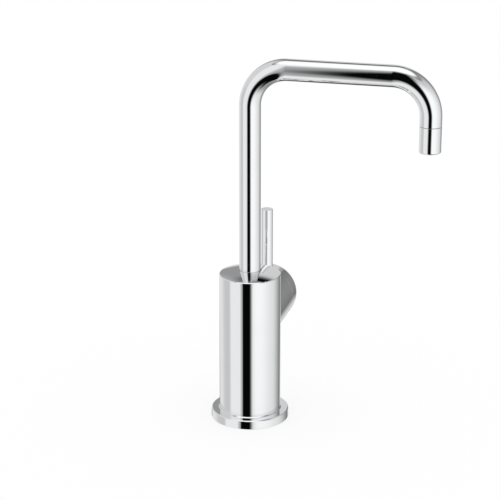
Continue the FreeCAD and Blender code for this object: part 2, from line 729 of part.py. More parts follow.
def make_lever_cap():
    blank = turned("cap_blank", [
        ("0", "drive_end + free_gap"),
        ("drive_r + run_fit", "drive_end + free_gap"),
        ("drive_r + run_fit", "cap_at"),
        ("glide_bore_r - free_gap", "cap_at"),
        ("glide_bore_r - free_gap", "hub_mouth + glide_nose + free_gap"),
        ("glide_nose_r + run_fit", "hub_mouth + glide_nose + free_gap"),
        ("glide_nose_r + run_fit", "cap_at"),
        ("hub_r - hub_edge", "cap_at"),
        ("hub_r", "cap_at + hub_edge"),
        ("hub_r", "cap_end - cap_edge"),
        ("hub_r - cap_edge", "cap_end"),
        ("0", "cap_end"),
    ])
    tools = [
        cylinder("rod_bore", "rod_r + run_fit", "hub_r", y="rod_at", z="hub_height + bore_bottom"),
        cylinder("stem_bore", "stem_dia / 2 + run_fit", "hub_r", y="rod_at", z="hub_height"),
        cylinder("grub_bore", "grub_dia / 2 + seat_fit", "hub_r", y="grub_at",
                 z="hub_height - hub_r"),
        cylinder("pin_bore", "pin_dia / 2 + seat_fit", "rod_at - cap_at", "Y", y="cap_at",
                 z="hub_height + pin_height"),
    ]
    keep(cut("cap_drilled", on_hub(blank), tools), "lever_cap")


def make_drive_collar():
    blank = turned("drive_blank", [
        ("0", "spindle_room_end"),
        ("spindle_r + seat_fit", "spindle_room_end"),
        ("spindle_r + seat_fit", "drive_at"),
        ("drive_r", "drive_at"),
        ("drive_r", "grub_at - grub_tip_dia / 2 - run_fit"),
        ("grub_groove_r", "grub_at - grub_tip_dia / 2 - run_fit"),
        ("grub_groove_r", "grub_at + grub_tip_dia / 2 + run_fit"),
        ("drive_r", "grub_at + grub_tip_dia / 2 + run_fit"),
        ("drive_r", "drive_end"),
        ("drive_screw_head / 2 + seat_fit", "drive_end"),
        ("drive_screw_head / 2 + seat_fit", "drive_screw_seat - seat_fit"),
        ("0", "drive_screw_seat - seat_fit"),
    ])
    keys = []
    for side in (-1, 1):
        keys.append(block("drive_key_%d" % (side + 1), "spindle_r", "spindle_room_end - drive_at",
                          "spindle_dia",
                          "%d * (spindle_flat / 2 + seat_fit + spindle_r / 2) - spindle_r / 2" % side,
                          "drive_at", "hub_height - spindle_r"))
    solid = fuse("drive_solid", [on_hub(blank)] + keys)
    tools = [
        cylinder("drive_screw_hole", "drive_screw_dia / 2 + seat_fit", "cap_end", "Y",
                 z="hub_height"),
        cylinder("stem_hole", "stem_dia / 2 + free_gap", "drive_dia", y="rod_at",
                 z="hub_height + stem_hole_bottom"),
    ]
    keep(cut("drive_drilled", solid, tools), "drive_collar")


def make_drive_screw():
    blank = turned("drive_screw_blank", [
        ("0", "spindle_end - drive_screw_bite + seat_fit"),
        ("drive_screw_dia / 2", "spindle_end - drive_screw_bite + seat_fit"),
        ("drive_screw_dia / 2", "drive_screw_seat"),
        ("drive_screw_head / 2", "drive_screw_seat"),
        ("drive_screw_head / 2", "drive_end"),
        ("0", "drive_end"),
    ])
    key = hexagon("drive_screw_socket", "drive_screw_key", "drive_screw_key_deep", "Y",
                  y="drive_end - drive_screw_key_deep", z="hub_height")
    keep(cut("drive_screw_cut", on_hub(blank), [key]), "drive_screw")


def make_cap_grub_screw():
    """Grub screw from below; its tip runs in the drive collar's groove and keeps the cap on."""
    shoulder = "grub_length - free_gap"
    foot = "hub_height - drive_r - grub_length"
    blank = turned("grub_blank", [
        ("0", "0"),
        ("grub_dia / 2", "0"),
        ("grub_dia / 2", shoulder + " - grub_tip_dia / 2"),
        ("grub_tip_dia / 2", shoulder),
        ("grub_tip_dia / 2", "grub_length + grub_groove / 2"),
        ("0", "grub_length + grub_groove / 2"),
    ])
    lay(blank, y="grub_at", z=foot)
    key = hexagon("grub_socket", "grub_key", "grub_key_deep", y="grub_at", z=foot)
    keep(cut("grub_cut", blank, [key]), "cap_grub_screw")


# ---------------------------------------------------------------- lever rod

def make_lever_rod():
    blank = turned("rod_blank", [
        ("0", "hub_height + stem_foot"),
        ("stem_dia / 2 - stem_edge", "hub_height + stem_foot"),
        ("stem_dia / 2", "hub_height + stem_foot + stem_edge"),
        ("stem_dia / 2", "hub_height + rod_foot"),
        ("rod_r", "hub_height + rod_foot"),
        ("rod_r", "rod_top - rod_edge"),
        ("rod_r - rod_edge", "rod_top"),
        ("0", "rod_top"),
    ])
    lay(blank, y="rod_at")
    slot = block("rod_slot", "pin_dia + seat_fit * 2", "rod_r",
                 "pin_dia + run_fit * 2 + rod_travel",
                 "-pin_dia / 2 - seat_fit", "rod_at - rod_r - rod_r + slot_depth",
                 "hub_height + pin_height - pin_dia / 2 - run_fit")
    keep(cut("rod_slotted", blank, [slot]), "lever_rod")


def make_stop_pin():
    start = "hub_mouth + glide_nose + free_gap + seat_fit"
    keep(cylinder("stop_pin_rod", "pin_dia / 2",
                  "rod_at - rod_r + slot_depth - run_fit * 2 - (%s)" % start, "Y", y=start,
                  z="hub_height + pin_height"), "rod_stop_pin")


def biarc(start, start_way, end, end_way):
    """Two arcs that leave start along start_way and reach end along end_way."""
    span = end - start
    both = start_way + end_way
    spread = 2 * (1 - start_way.dot(end_way))
    lean = span.dot(both)
    arm = (math.sqrt(lean * lean + spread * span.dot(span)) - lean) / spread
    middle = (start + end + (start_way - end_way) * arm) * 0.5
    middle_way = (end - start - (start_way + end_way) * arm).normalize()
    return arc_from(start, start_way, middle) + arc_from(middle, middle_way, end)


def arc_from(start, way, end):
    """Arc from start to end that leaves along way; its middle point follows from the chord."""
    chord = end - start
    side = FreeCAD.Vector(chord).normalize()
    halfway = start + (way + side) * (chord.Length / (2 * (1 + way.dot(side))))
    return [Part.Arc(start, halfway, end).toShape()]


def helix_point(radius, climb, angle):
    """Point and direction of a coil after some angle, climbing so much per radian."""
    spot = FreeCAD.Vector(radius * math.cos(angle), radius * math.sin(angle), climb * angle)
    way = FreeCAD.Vector(-radius * math.sin(angle), radius * math.cos(angle), climb).normalize()
    return spot, way


def make_return_spring():
    """Return spring under the rod: one unbroken wire of quarter turns, each a pair of arcs."""
    radius = length("spring_dia / 2")
    wire_r = length("spring_wire / 2")
    turns = length("spring_turns")
    room = length("rod_foot - bore_bottom - seat_fit * 2")
    climb = (room - 2 * wire_r) / (2 * math.pi * turns)
    quarters = max(1, round(turns * 4))
    step = 2 * math.pi * turns / quarters
    marks = [helix_point(radius, climb, step * i) for i in range(quarters + 1)]
    edges = []
    for (start, start_way), (end, end_way) in zip(marks, marks[1:]):
        edges += biarc(start, start_way, end, end_way)
    shell = Part.BRepOffsetAPI.MakePipeShell(Part.Wire(edges))
    shell.add(Part.Wire([Part.Circle(marks[0][0], marks[0][1], wire_r).toShape()]))
    shell.build()
    shell.makeSolid()
    spring = doc.addObject("Part::Feature", "return_spring_wire")
    spring.Shape = shell.shape()
    spring.Placement = FreeCAD.Placement(
        FreeCAD.Vector(0, length("rod_at"),
                       length("hub_height + bore_bottom + seat_fit") + wire_r),
        FreeCAD.Rotation())
    keep(spring, "return_spring")
    print("return_spring: least gap between its turns %.2f mm"
          % (spring_gap(radius, climb, step * quarters) - 2 * wire_r))


def spring_gap(radius, climb, whole):
    """Least distance between points of the coil that lie more than half a turn apart."""
    steps = 240
    spots = [helix_point(radius, climb, whole * i / steps)[0] for i in range(steps + 1)]
    apart = max(1, math.ceil(math.pi / (whole / steps)))
    return min(spots[i].distanceToPoint(spots[j])
               for i in range(steps + 1) for j in range(i + apart, steps + 1))


# ---------------------------------------------------------------- spout

def bent_tube(name, outer, inner, foot, mouth):
    """Tube along the spout: up, over both bends and down to its mouth."""
    body = doc.addObject("PartDesign::Body", name)
    path = new_sketch(body, "XZ_Plane", name + "_path")
    low, high, far, bend = length(foot), length("arm_height"), length("reach"), length("bend_radius")
    end = length(mouth)
    turn = FreeCAD.Vector(0, 0, 1)
    corners = [FreeCAD.Vector(bend, high - bend, 0), FreeCAD.Vector(far - bend, high - bend, 0)]
    path.addGeometry(Part.LineSegment(FreeCAD.Vector(0, low, 0), FreeCAD.Vector(0, high - bend, 0)))
    path.addGeometry(Part.ArcOfCircle(Part.Circle(corners[0], turn, bend), math.pi / 2, math.pi))
    path.addGeometry(Part.LineSegment(FreeCAD.Vector(bend, high, 0),
                                      FreeCAD.Vector(far - bend, high, 0)))
    path.addGeometry(Part.ArcOfCircle(Part.Circle(corners[1], turn, bend), 0, math.pi / 2))
    path.addGeometry(Part.LineSegment(FreeCAD.Vector(far, high - bend, 0),
                                      FreeCAD.Vector(far, end, 0)))
    joints = ((0, 2, 1, 2), (1, 1, 2, 1), (2, 2, 3, 2), (3, 1, 4, 1))
    for first, first_end, second, second_end in joints:
        path.addConstraint(Sketcher.Constraint("Tangent", first, first_end, second, second_end))
    path.addConstraint(Sketcher.Constraint("Vertical", 0))
    path.addConstraint(Sketcher.Constraint("Horizontal", 2))
    path.addConstraint(Sketcher.Constraint("Vertical", 4))
    path.addConstraint(Sketcher.Constraint("Equal", 1, 3))
    pin_down(path, 0, 1, "0", foot)
    pin_down(path, 4, 2, "reach", mouth)
    level = path.addConstraint(Sketcher.Constraint("DistanceY", -1, 1, 2, 1, high))
    path.setExpression("Constraints[%d]" % level, bound("arm_height"))
    radius = path.addConstraint(Sketcher.Constraint("Radius", 1, bend))
    path.setExpression("Constraints[%d]" % radius, bound("bend_radius"))
    section = new_sketch(body, "XY_Plane", name + "_section")
    section.AttachmentOffset = FreeCAD.Placement(FreeCAD.Vector(0, 0, low), FreeCAD.Rotation())
    section.setExpression("AttachmentOffset.Base.z", bound(foot))
    for number, size in enumerate((outer, inner)):
        section.addGeometry(Part.Circle(FreeCAD.Vector(), turn, length(size)))
        section.addConstraint(Sketcher.Constraint("Coincident", number, 3, -1, 1))
        index = section.addConstraint(Sketcher.Constraint("Radius", number, length(size)))
        section.setExpression("Constraints[%d]" % index, bound(size))
    pipe = body.newObject("PartDesign::AdditivePipe", name + "_pipe")
    pipe.Profile = section
    pipe.Spine = (path, ["Edge%d" % (i + 1) for i in range(5)])
    return body


def make_spout_tube():
    keep(bent_tube("spout_tube_bent", "tube_r", "tube_in_r", "tube_foot", "outlet_joint"),
         "spout_tube")


def make_liner_tube():
    keep(bent_tube("liner_bent", "liner_dia / 2", "liner_dia / 2 - liner_wall", "liner_foot",
                   "ferrule_foot"), "liner_tube")


def make_liner_spacers():
    """Rings that centre the inner tube: in the riser, in the arm and above the outlet."""
    inner, outer = "liner_dia / 2 + seat_fit", "tube_in_r - seat_fit"
    half = "spacer_length / 2"
    riser = lay(ring("spacer_riser", inner, outer, "0", "spacer_length"),
                z="(body_top + arm_height) / 2 - " + half)
    arm = lay(ring("spacer_arm", inner, outer, "0", "spacer_length"), "X",
              x="reach / 2 - " + half, z="arm_height")
    drop = lay(ring("spacer_drop", inner, outer, "0", "spacer_length"), x="reach",
               z="outlet_joint - joint_groove + ferrule_up + seat_fit")
    keep(group("spacer_set", [riser, arm, drop]), "liner_spacers")


def make_swivel_bush():
    keep(ring("swivel_bush_ring", "bush_in_r", "bush_out_r", "bush_seat + seat_fit", "core_top"),
         "swivel_bush")


SEAL_LEVELS = ("bush_seat - first_ring_drop - ring_pitch", "bush_seat - first_ring_drop")


def make_spout_nipple():
    groove_r = "nipple_r - ring_cord"
    hood = "nipple_foot + nipple_hood"
    points = [("liner_dia / 2 - liner_wall", "nipple_foot"),
              ("nipple_r", "nipple_foot")]
    for level in SEAL_LEVELS:
        points += [("nipple_r", level + " - ring_cord / 2 - seat_fit"),
                   (groove_r, level + " - ring_cord / 2 - seat_fit"),
                   (groove_r, level + " + ring_cord / 2 + seat_fit"),
                   ("nipple_r", level + " + ring_cord / 2 + seat_fit")]
    points += [("nipple_r", "snap_top - snap_thick - seat_fit"),
               ("snap_bore / 2 - seat_fit", "snap_top - snap_thick - seat_fit"),
               ("snap_bore / 2 - seat_fit", "snap_top + seat_fit"),
               ("nipple_r", "snap_top + seat_fit"),
               ("nipple_r", "tube_foot"),
               ("tube_in_r - seat_fit", "tube_foot"),
               ("tube_in_r - seat_fit", "tube_foot + nipple_spigot"),
               ("liner_dia / 2 + seat_fit", "tube_foot + nipple_spigot"),
               ("liner_dia / 2 + seat_fit", hood),
               ("liner_dia / 2 - liner_wall", hood)]
    keep(turned("spout_nipple_turned", points), "spout_nipple")


def make_spout_seals():
    seals = []
    for number, level in enumerate(SEAL_LEVELS):
        seals.append(sealing_ring("spout_seal_%d" % number,
                                  "nipple_r + run_fit / 2 - ring_cord / 2", "ring_cord",
                                  "Z", z=level))
    keep(group("spout_seal_set", seals), "spout_seals")


def make_spout_snap_ring():
    whole = ring("snap_ring_whole", "snap_bore / 2", "snap_dia / 2", "snap_top - snap_thick",
                 "snap_top")
    gap = block("snap_ring_gap", "snap_dia", "snap_mouth", "snap_thick * 3",
                "-snap_dia", "-snap_mouth / 2", "snap_top - snap_thick * 2")
    keep(cut("snap_ring_cut", whole, [gap]), "spout_snap_ring")


# ---------------------------------------------------------------- outlet

def make_outlet_ferrule():
    keep(on_outlet(ring("ferrule_ring", "ferrule_r - ferrule_wall", "ferrule_r", "ferrule_foot",
                        "outlet_joint - joint_groove + ferrule_up")), "outlet_ferrule")


def make_outlet_sleeve():
    top = "outlet_joint - joint_groove"
    blank = turned("outlet_sleeve_blank", [
        ("outlet_mouth / 2", "outlet_foot"),
        ("tube_r", "outlet_foot"),
        ("tube_r", top),
        ("ferrule_r + seat_fit", top),
        ("ferrule_r + seat_fit", "ferrule_foot - seat_fit"),
        ("sleeve_bore_r", "ferrule_foot - seat_fit"),
        ("sleeve_bore_r", "nozzle_foot - seat_fit"),
        ("outlet_mouth / 2", "nozzle_foot - seat_fit"),
    ])
    doc.recompute()
    turn = blank.Tip
    rim = [("Edge%d" % (i + 1)) for i, edge in enumerate(turn.Shape.Edges)
           if abs(edge.BoundBox.ZMax - length("outlet_foot")) < 1e-6
           and abs(edge.BoundBox.XMax - length("tube_r")) < 1e-6]
    rounded = blank.newObject("PartDesign::Fillet", "outlet_sleeve_round")
    rounded.Base = (turn, rim)
    tie(rounded, {"Radius": "outlet_round"})
    keep(on_outlet(blank), "outlet_sleeve")


NOZZLE_RINGS = (1, 6, 12)      # holes of the flow straightener, from the middle outwards
SCREEN_ROWS = (-2, -1, 0, 1, 2)


def make_outlet_nozzle():
    blank = on_outlet(ring("nozzle_blank", "0", "sleeve_bore_r - seat_fit", "nozzle_foot",
                           "nozzle_top"))
    tools = []
    for circle, count in enumerate(NOZZLE_RINGS):
        for i in range(count):
            turn = 360.0 * i / count
            tools.append(cylinder("nozzle_hole_%d_%d" % (circle, i), "nozzle_hole_dia / 2",
                                  "nozzle_length * 2",
                                  x="reach + %d * nozzle_ring_pitch * cos(%g deg)" % (circle, turn),
                                  y="%d * nozzle_ring_pitch * sin(%g deg)" % (circle, turn),
                                  z="nozzle_foot - nozzle_length / 2"))
    keep(cut("nozzle_drilled", blank, tools), "outlet_nozzle")


def make_outlet_screen():
    """Strainer: a square grid of holes without the four at its corners."""
    blank = on_outlet(ring("screen_blank", "0", "sleeve_bore_r - seat_fit", "nozzle_top + seat_fit",
                           "nozzle_top + screen_thick"))
    places = [(column, row) for column in SCREEN_ROWS for row in SCREEN_ROWS]
    corner = SCREEN_ROWS[-1] ** 2
    tools = []
    for number, (column, row) in enumerate(places):
        if abs(column * row) < corner:
            tools.append(block("screen_hole_%d" % number, "screen_hole", "screen_hole",
                               "nozzle_length",
                               "reach + %d * screen_pitch - screen_hole / 2" % column,
                               "%d * screen_pitch - screen_hole / 2" % row, "nozzle_top"))
    keep(cut("screen_cut", blank, tools), "outlet_screen")


def make_outlet_seal():
    """Flat seal between the strainer and the end of the ferrule."""
    keep(on_outlet(ring("outlet_seal_ring", "ferrule_r - ferrule_wall", "sleeve_bore_r - seat_fit",
                        "nozzle_top + screen_thick + seat_fit", "ferrule_foot - seat_fit")),
         "outlet_seal")


# ---------------------------------------------------------------- build

MAKERS = (
    make_base_flange, make_base_gasket, make_base_screws, make_body_shell, make_insulation_sleeve,
    make_core, make_hub_housing, make_valve_carrier, make_carrier_seals, make_disc_seal,
    make_ceramic_discs, make_valve_body, make_spindle, make_spindle_rings, make_spindle_clip,
    make_glide_ring, make_lever_cap, make_drive_collar, make_drive_screw, make_cap_grub_screw,
    make_lever_rod, make_stop_pin, make_return_spring, make_spout_tube, make_liner_tube,
    make_liner_spacers, make_swivel_bush, make_spout_nipple, make_spout_seals,
    make_spout_snap_ring, make_outlet_ferrule, make_outlet_sleeve, make_outlet_nozzle,
    make_outlet_screen, make_outlet_seal,
)

for make in MAKERS:
    make()
doc.recompute()

failed = [thing.Label for thing in doc.Objects
          if "Invalid" in thing.State or "Error" in thing.State]
if failed:
    raise RuntimeError("did not build: " + ", ".join(failed))
for piece in sub_parts:
    if piece.Shape.isNull() or not piece.Shape.isValid() or not piece.Shape.Solids:
        raise RuntimeError("%s has no sound solid" % piece.Label)

os.makedirs("parts", exist_ok=True)
for piece in sub_parts:
    piece.Shape.exportStep("parts/%s.step" % piece.Label)
print("%d sub-parts written" % len(sub_parts))
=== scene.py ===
import json
import math
import bpy
import numpy as np
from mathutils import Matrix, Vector


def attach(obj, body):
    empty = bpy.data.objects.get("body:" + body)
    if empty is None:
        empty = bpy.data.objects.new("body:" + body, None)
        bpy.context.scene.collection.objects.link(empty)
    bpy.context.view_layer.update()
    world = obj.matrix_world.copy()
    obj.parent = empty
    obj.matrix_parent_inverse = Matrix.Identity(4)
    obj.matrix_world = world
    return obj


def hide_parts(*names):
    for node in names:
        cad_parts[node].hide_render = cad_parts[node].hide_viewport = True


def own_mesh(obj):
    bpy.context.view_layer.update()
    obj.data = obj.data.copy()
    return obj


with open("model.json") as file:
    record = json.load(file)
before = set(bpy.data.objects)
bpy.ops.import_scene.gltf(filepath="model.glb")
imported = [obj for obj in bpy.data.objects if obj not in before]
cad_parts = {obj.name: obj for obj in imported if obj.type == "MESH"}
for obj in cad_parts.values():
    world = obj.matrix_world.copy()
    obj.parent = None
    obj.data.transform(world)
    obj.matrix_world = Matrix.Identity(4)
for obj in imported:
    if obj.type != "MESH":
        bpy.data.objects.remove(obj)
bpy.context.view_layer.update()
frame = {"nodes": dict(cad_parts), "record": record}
mm = 0.001  # sizes below are written in millimetres, the scene is in metres
white = (1, 1, 1, 1)

# What several pieces share: the hub's round and the height of its axis, the port between hub and
# body, and how far the lever and the outlet are from the body's axis.
layout = {"hubRadius": 25.25, "hubHeight": 91.5, "portRadius": 15.55, "leverPlace": 57.8, "reach": 149.2}
print("frame loaded:", len(frame["nodes"]), "nodes")


# Shader tools: short ways to add nodes, sums and node groups.

# A new node with its properties and its sockets set.
def addNode(tree, kind, sockets=None, **properties):
    made = tree.nodes.new(kind)
    for name, value in properties.items():
        setattr(made, name, value)
    for name, value in (sockets or {}).items():
        feed(tree, value, made.inputs[name])
    return made


def feed(tree, value, socket):  # a socket takes another socket or a plain value
    if isinstance(value, bpy.types.NodeSocket):
        tree.links.new(value, socket)
    else:
        socket.default_value = value


# One sum, which takes sockets or plain numbers; clamp keeps the result between 0 and 1.
def calculate(tree, operation, *values, clamp=False):
    made = addNode(tree, "ShaderNodeMath", operation=operation, use_clamp=clamp)
    for socket, value in zip(made.inputs, values):
        feed(tree, value, socket)
    return made.outputs[0]


# Smooth step from start to end as the value goes from low to high.
def smoothRise(tree, value, low, high, start=0.0, end=1.0):
    made = addNode(tree, "ShaderNodeMapRange", {"Value": value, "From Min": low, "From Max": high,
                                                "To Min": start, "To Max": end},
                   interpolation_type="SMOOTHSTEP")
    return made.outputs[0]


# Noise between 0 and 1; cells is its number of lumps in one metre.
def noise(tree, position, cells, detail):
    made = addNode(tree, "ShaderNodeTexNoise", {"Vector": position, "Scale": cells, "Detail": detail})
    return made.outputs["Fac"]


# The first colour where share is 0, the second where it is 1. This node's colour sockets have the same
# names as its number sockets, so they go by their places.
def blendColours(tree, share, first, second):
    made = addNode(tree, "ShaderNodeMix", data_type="RGBA")
    for socket, value in ((made.inputs[0], share), (made.inputs[6], first), (made.inputs[7], second)):
        feed(tree, value, socket)
    return made.outputs[2]


# The first shader where share is 0, the second where it is 1.
def mixShaders(tree, share, first, second):
    mixed = addNode(tree, "ShaderNodeMixShader", {"Fac": share})
    feed(tree, first.outputs[0], mixed.inputs[1])
    feed(tree, second.outputs[0], mixed.inputs[2])
    return mixed


# Every surface group takes a position and values of its own, and gives colour, roughness and height.
def startGroup(name, numbers, colours):
    group = bpy.data.node_groups.new(name, "ShaderNodeTree")
    inputs = [("Position", "Vector")] + [(label, "Float") for label in numbers]
    inputs += [(label, "Color") for label in colours]
    outputs = [("Colour", "Color"), ("Roughness", "Float"), ("Height", "Float")]
    for side, sockets in (("INPUT", inputs), ("OUTPUT", outputs)):
        for label, kind in sockets:
            group.interface.new_socket(name=label, in_out=side, socket_type="NodeSocket" + kind)
    return group, group.nodes.new("NodeGroupInput").outputs, group.nodes.new("NodeGroupOutput").inputs


# Polished plate: smears of handling make the gloss a little duller in places, and a very shallow
# long ripple is left by the polishing wheel. Smears, streaks and ripples are counted in one metre.
polish = {"smears": 38.0, "smearDetail": 4.0, "smearFrom": 0.46, "smearFull": 0.78,
          "streaks": (900.0, 900.0, 60.0), "streakDetail": 3.0, "leastStreak": 0.5,
          "ripples": 70.0, "rippleDetail": 1.0}


def makePolishGroup():
    tree, given, made = startGroup("polishedPlate", ["Clean Roughness", "Smeared Roughness"],
                                   ["Clean Colour", "Smeared Colour"])
    smear = noise(tree, given["Position"], polish["smears"], polish["smearDetail"])
    smear = smoothRise(tree, smear, polish["smearFrom"], polish["smearFull"])
    streak = addNode(tree, "ShaderNodeMapping", {"Vector": given["Position"], "Scale": polish["streaks"]})
    grain = noise(tree, streak.outputs[0], 1.0, polish["streakDetail"])
    streaked = calculate(tree, "ADD", grain, polish["leastStreak"])
    dull = calculate(tree, "MULTIPLY", smear, streaked, clamp=True)
    span = calculate(tree, "SUBTRACT", given["Smeared Roughness"], given["Clean Roughness"])
    feed(tree, calculate(tree, "MULTIPLY_ADD", span, dull, given["Clean Roughness"]), made["Roughness"])
    feed(tree, blendColours(tree, dull, given["Clean Colour"], given["Smeared Colour"]), made["Colour"])
    feed(tree, noise(tree, given["Position"], polish["ripples"], polish["rippleDetail"]), made["Height"])
    return tree


# Turned metal: rings left by the tool, a noise along radius plus height divided by the feed. The
# radius is the square root of x squared plus y squared. Stains are counted in one metre.
turned = {"ringDetail": 3.0, "stains": 130.0, "stainDetail": 5.0, "stainFrom": 0.42, "stainFull": 0.72}


def makeTurnedGroup():
    tree, given, made = startGroup("turnedMarks", ["Feed", "Fine Roughness", "Coarse Roughness"],
                                   ["Bright Colour", "Stained Colour"])
    axes = addNode(tree, "ShaderNodeSeparateXYZ", {"Vector": given["Position"]}).outputs
    squared = [calculate(tree, "MULTIPLY", axes[place], axes[place]) for place in (0, 1)]
    across = calculate(tree, "SQRT", calculate(tree, "ADD", *squared))
    along = calculate(tree, "DIVIDE", calculate(tree, "ADD", across, axes[2]), given["Feed"])
    rings = addNode(tree, "ShaderNodeTexNoise", {"W": along, "Scale": 1.0, "Detail": turned["ringDetail"]},
                    noise_dimensions="1D").outputs["Fac"]
    stain = noise(tree, given["Position"], turned["stains"], turned["stainDetail"])
    stain = smoothRise(tree, stain, turned["stainFrom"], turned["stainFull"])
    span = calculate(tree, "SUBTRACT", given["Coarse Roughness"], given["Fine Roughness"])
    feed(tree, calculate(tree, "MULTIPLY_ADD", span, rings, given["Fine Roughness"]), made["Roughness"])
    feed(tree, blendColours(tree, stain, given["Bright Colour"], given["Stained Colour"]), made["Colour"])
    feed(tree, rings, made["Height"])
    return tree


# Moulded rubber, plastic and fired ceramic: fine grain of the mould and a faint cloudiness.
mould = {"grainDetail": 2.0, "cloudDetail": 4.0, "cloudFrom": 0.35, "cloudFull": 0.7}


def makeGrainGroup():
    tree, given, made = startGroup(
        "mouldGrain", ["Grains per Metre", "Clouds per Metre", "Smooth Roughness", "Matt Roughness"],
        ["Main Colour", "Cloud Colour"])
    grain = noise(tree, given["Position"], given["Grains per Metre"], mould["grainDetail"])
    cloud = noise(tree, given["Position"], given["Clouds per Metre"], mould["cloudDetail"])
    cloud = smoothRise(tree, cloud, mould["cloudFrom"], mould["cloudFull"])
    span = calculate(tree, "SUBTRACT", given["Matt Roughness"], given["Smooth Roughness"])
    feed(tree, calculate(tree, "MULTIPLY_ADD", span, grain, given["Smooth Roughness"]), made["Roughness"])
    feed(tree, blendColours(tree, cloud, given["Main Colour"], given["Cloud Colour"]), made["Colour"])
    feed(tree, grain, made["Height"])
    return tree


surfaceGroups = {"polish": makePolishGroup(), "turned": makeTurnedGroup(), "grain": makeGrainGroup()}

# One entry per finish: the group that varies it, the group's own values, how deep the relief is in
# millimetres, and what is the same all over and so stands on the shader itself.
finishes = {
    "polished_chrome": {"group": "polish", "relief": 0.0006, "metallic": 1.0, "values": {
        "Clean Roughness": 0.022, "Smeared Roughness": 0.05,
        "Clean Colour": (0.905, 0.91, 0.92, 1), "Smeared Colour": (0.885, 0.89, 0.90, 1)}},
    "turned_brass": {"group": "turned", "relief": 0.004, "metallic": 1.0, "values": {
        "Feed": 0.00016, "Fine Roughness": 0.17, "Coarse Roughness": 0.36,
        "Bright Colour": (0.80, 0.58, 0.27, 1), "Stained Colour": (0.70, 0.46, 0.19, 1)}},
    "stainless_steel": {"group": "turned", "relief": 0.002, "metallic": 1.0, "values": {
        "Feed": 0.00009, "Fine Roughness": 0.20, "Coarse Roughness": 0.38,
        "Bright Colour": (0.62, 0.62, 0.63, 1), "Stained Colour": (0.53, 0.53, 0.54, 1)}},
    "black_rubber": {"group": "grain", "relief": 0.012, "metallic": 0.0, "values": {
        "Grains per Metre": 5200.0, "Clouds per Metre": 210.0,
        "Smooth Roughness": 0.50, "Matt Roughness": 0.74,
        "Main Colour": (0.016, 0.016, 0.017, 1), "Cloud Colour": (0.030, 0.030, 0.031, 1)}},
    "white_plastic": {"group": "grain", "relief": 0.006, "metallic": 0.0, "values": {
        "Grains per Metre": 3600.0, "Clouds per Metre": 90.0,
        "Smooth Roughness": 0.36, "Matt Roughness": 0.52,
        "Main Colour": (0.82, 0.81, 0.76, 1), "Cloud Colour": (0.77, 0.75, 0.69, 1)}},
    "grey_plastic": {"group": "grain", "relief": 0.006, "metallic": 0.0, "values": {
        "Grains per Metre": 4200.0, "Clouds per Metre": 140.0,
        "Smooth Roughness": 0.34, "Matt Roughness": 0.50,
        "Main Colour": (0.43, 0.44, 0.45, 1), "Cloud Colour": (0.39, 0.40, 0.41, 1)}},
    "ceramic": {"group": "grain", "relief": 0.001, "metallic": 0.0, "values": {
        "Grains per Metre": 9000.0, "Clouds per Metre": 260.0,
        "Smooth Roughness": 0.08, "Matt Roughness": 0.20,
        "Main Colour": (0.88, 0.86, 0.81, 1), "Cloud Colour": (0.83, 0.80, 0.75, 1)}},
}

# Where the axis that a piece was turned on lies; the pattern is moved and turned to stand upright.
latheAxes = {
    "upright": {"Location": (0.0, 0.0, 0.0), "Rotation": (0.0, 0.0, 0.0)},
    "hub": {"Location": (0.0, layout["hubHeight"] * mm, 0.0), "Rotation": (math.pi / 2, 0.0, 0.0)},
    "outlet": {"Location": (-layout["reach"] * mm, 0.0, 0.0), "Rotation": (0.0, 0.0, 0.0)},
}
levelPieces = ["valve_carrier", "valve_body", "valve_spindle", "drive_collar", "drive_screw",
               "spindle_clip", "spindle_rings", "carrier_seals", "disc_seal", "glide_ring",
               "ceramic_disc_fixed", "ceramic_disc_moving", "lever_cap", "hub_housing"]
outletPieces = ["outlet_ferrule", "outlet_nozzle", "outlet_screen", "outlet_seal", "outlet_sleeve"]


# One finish round one axis: its group's colour, roughness and relief drive a single shader.
def makeMaterial(slot, axis):
    finish = finishes[slot]
    material = bpy.data.materials.new(slot + "_" + axis)
    material.use_nodes = True
    tree = material.node_tree
    shader = tree.nodes["Principled BSDF"]
    place = addNode(tree, "ShaderNodeTexCoord").outputs["Object"]
    centred = addNode(tree, "ShaderNodeMapping", dict(latheAxes[axis], Vector=place)).outputs[0]
    surface = addNode(tree, "ShaderNodeGroup", node_tree=surfaceGroups[finish["group"]])
    for name, value in dict(finish["values"], Position=centred).items():
        feed(tree, value, surface.inputs[name])
    relief = addNode(tree, "ShaderNodeBump", {"Height": surface.outputs["Height"], "Strength": 1.0,
                                              "Distance": finish["relief"] * mm})
    feed(tree, surface.outputs["Colour"], shader.inputs["Base Color"])
    feed(tree, surface.outputs["Roughness"], shader.inputs["Roughness"])
    feed(tree, relief.outputs[0], shader.inputs["Normal"])
    shader.inputs["Metallic"].default_value = finish["metallic"]
    return material


materials = {(slot, axis): makeMaterial(slot, axis) for slot in finishes for axis in latheAxes}
recordSlots = {part["node"]: part["material_slot"] for part in frame["record"]["subparts"]}
for name, cadNode in frame["nodes"].items():
    axis = "hub" if name in levelPieces else "outlet" if name in outletPieces else "upright"
    cadNode.data.materials.clear()
    cadNode.data.materials.append(materials[recordSlots[name], axis])
print("finishes made:", len(finishes))


# Mesh tools: a piece is a list of patches, and a patch is a grid of points with a normal at each.
weldDecimals = 4  # corners that agree to this many decimals of a millimetre become one
twoTriangles = [0, 1, 2, 0, 2, 3]  # the corners of a grid square that its two triangles take


# The four corners of every grid square, in order round it.
def gridSquares(grid):
    return np.stack([grid[:-1, :-1], grid[1:, :-1], grid[1:, 1:], grid[:-1, 1:]], 2).reshape(-1, 4, 3)


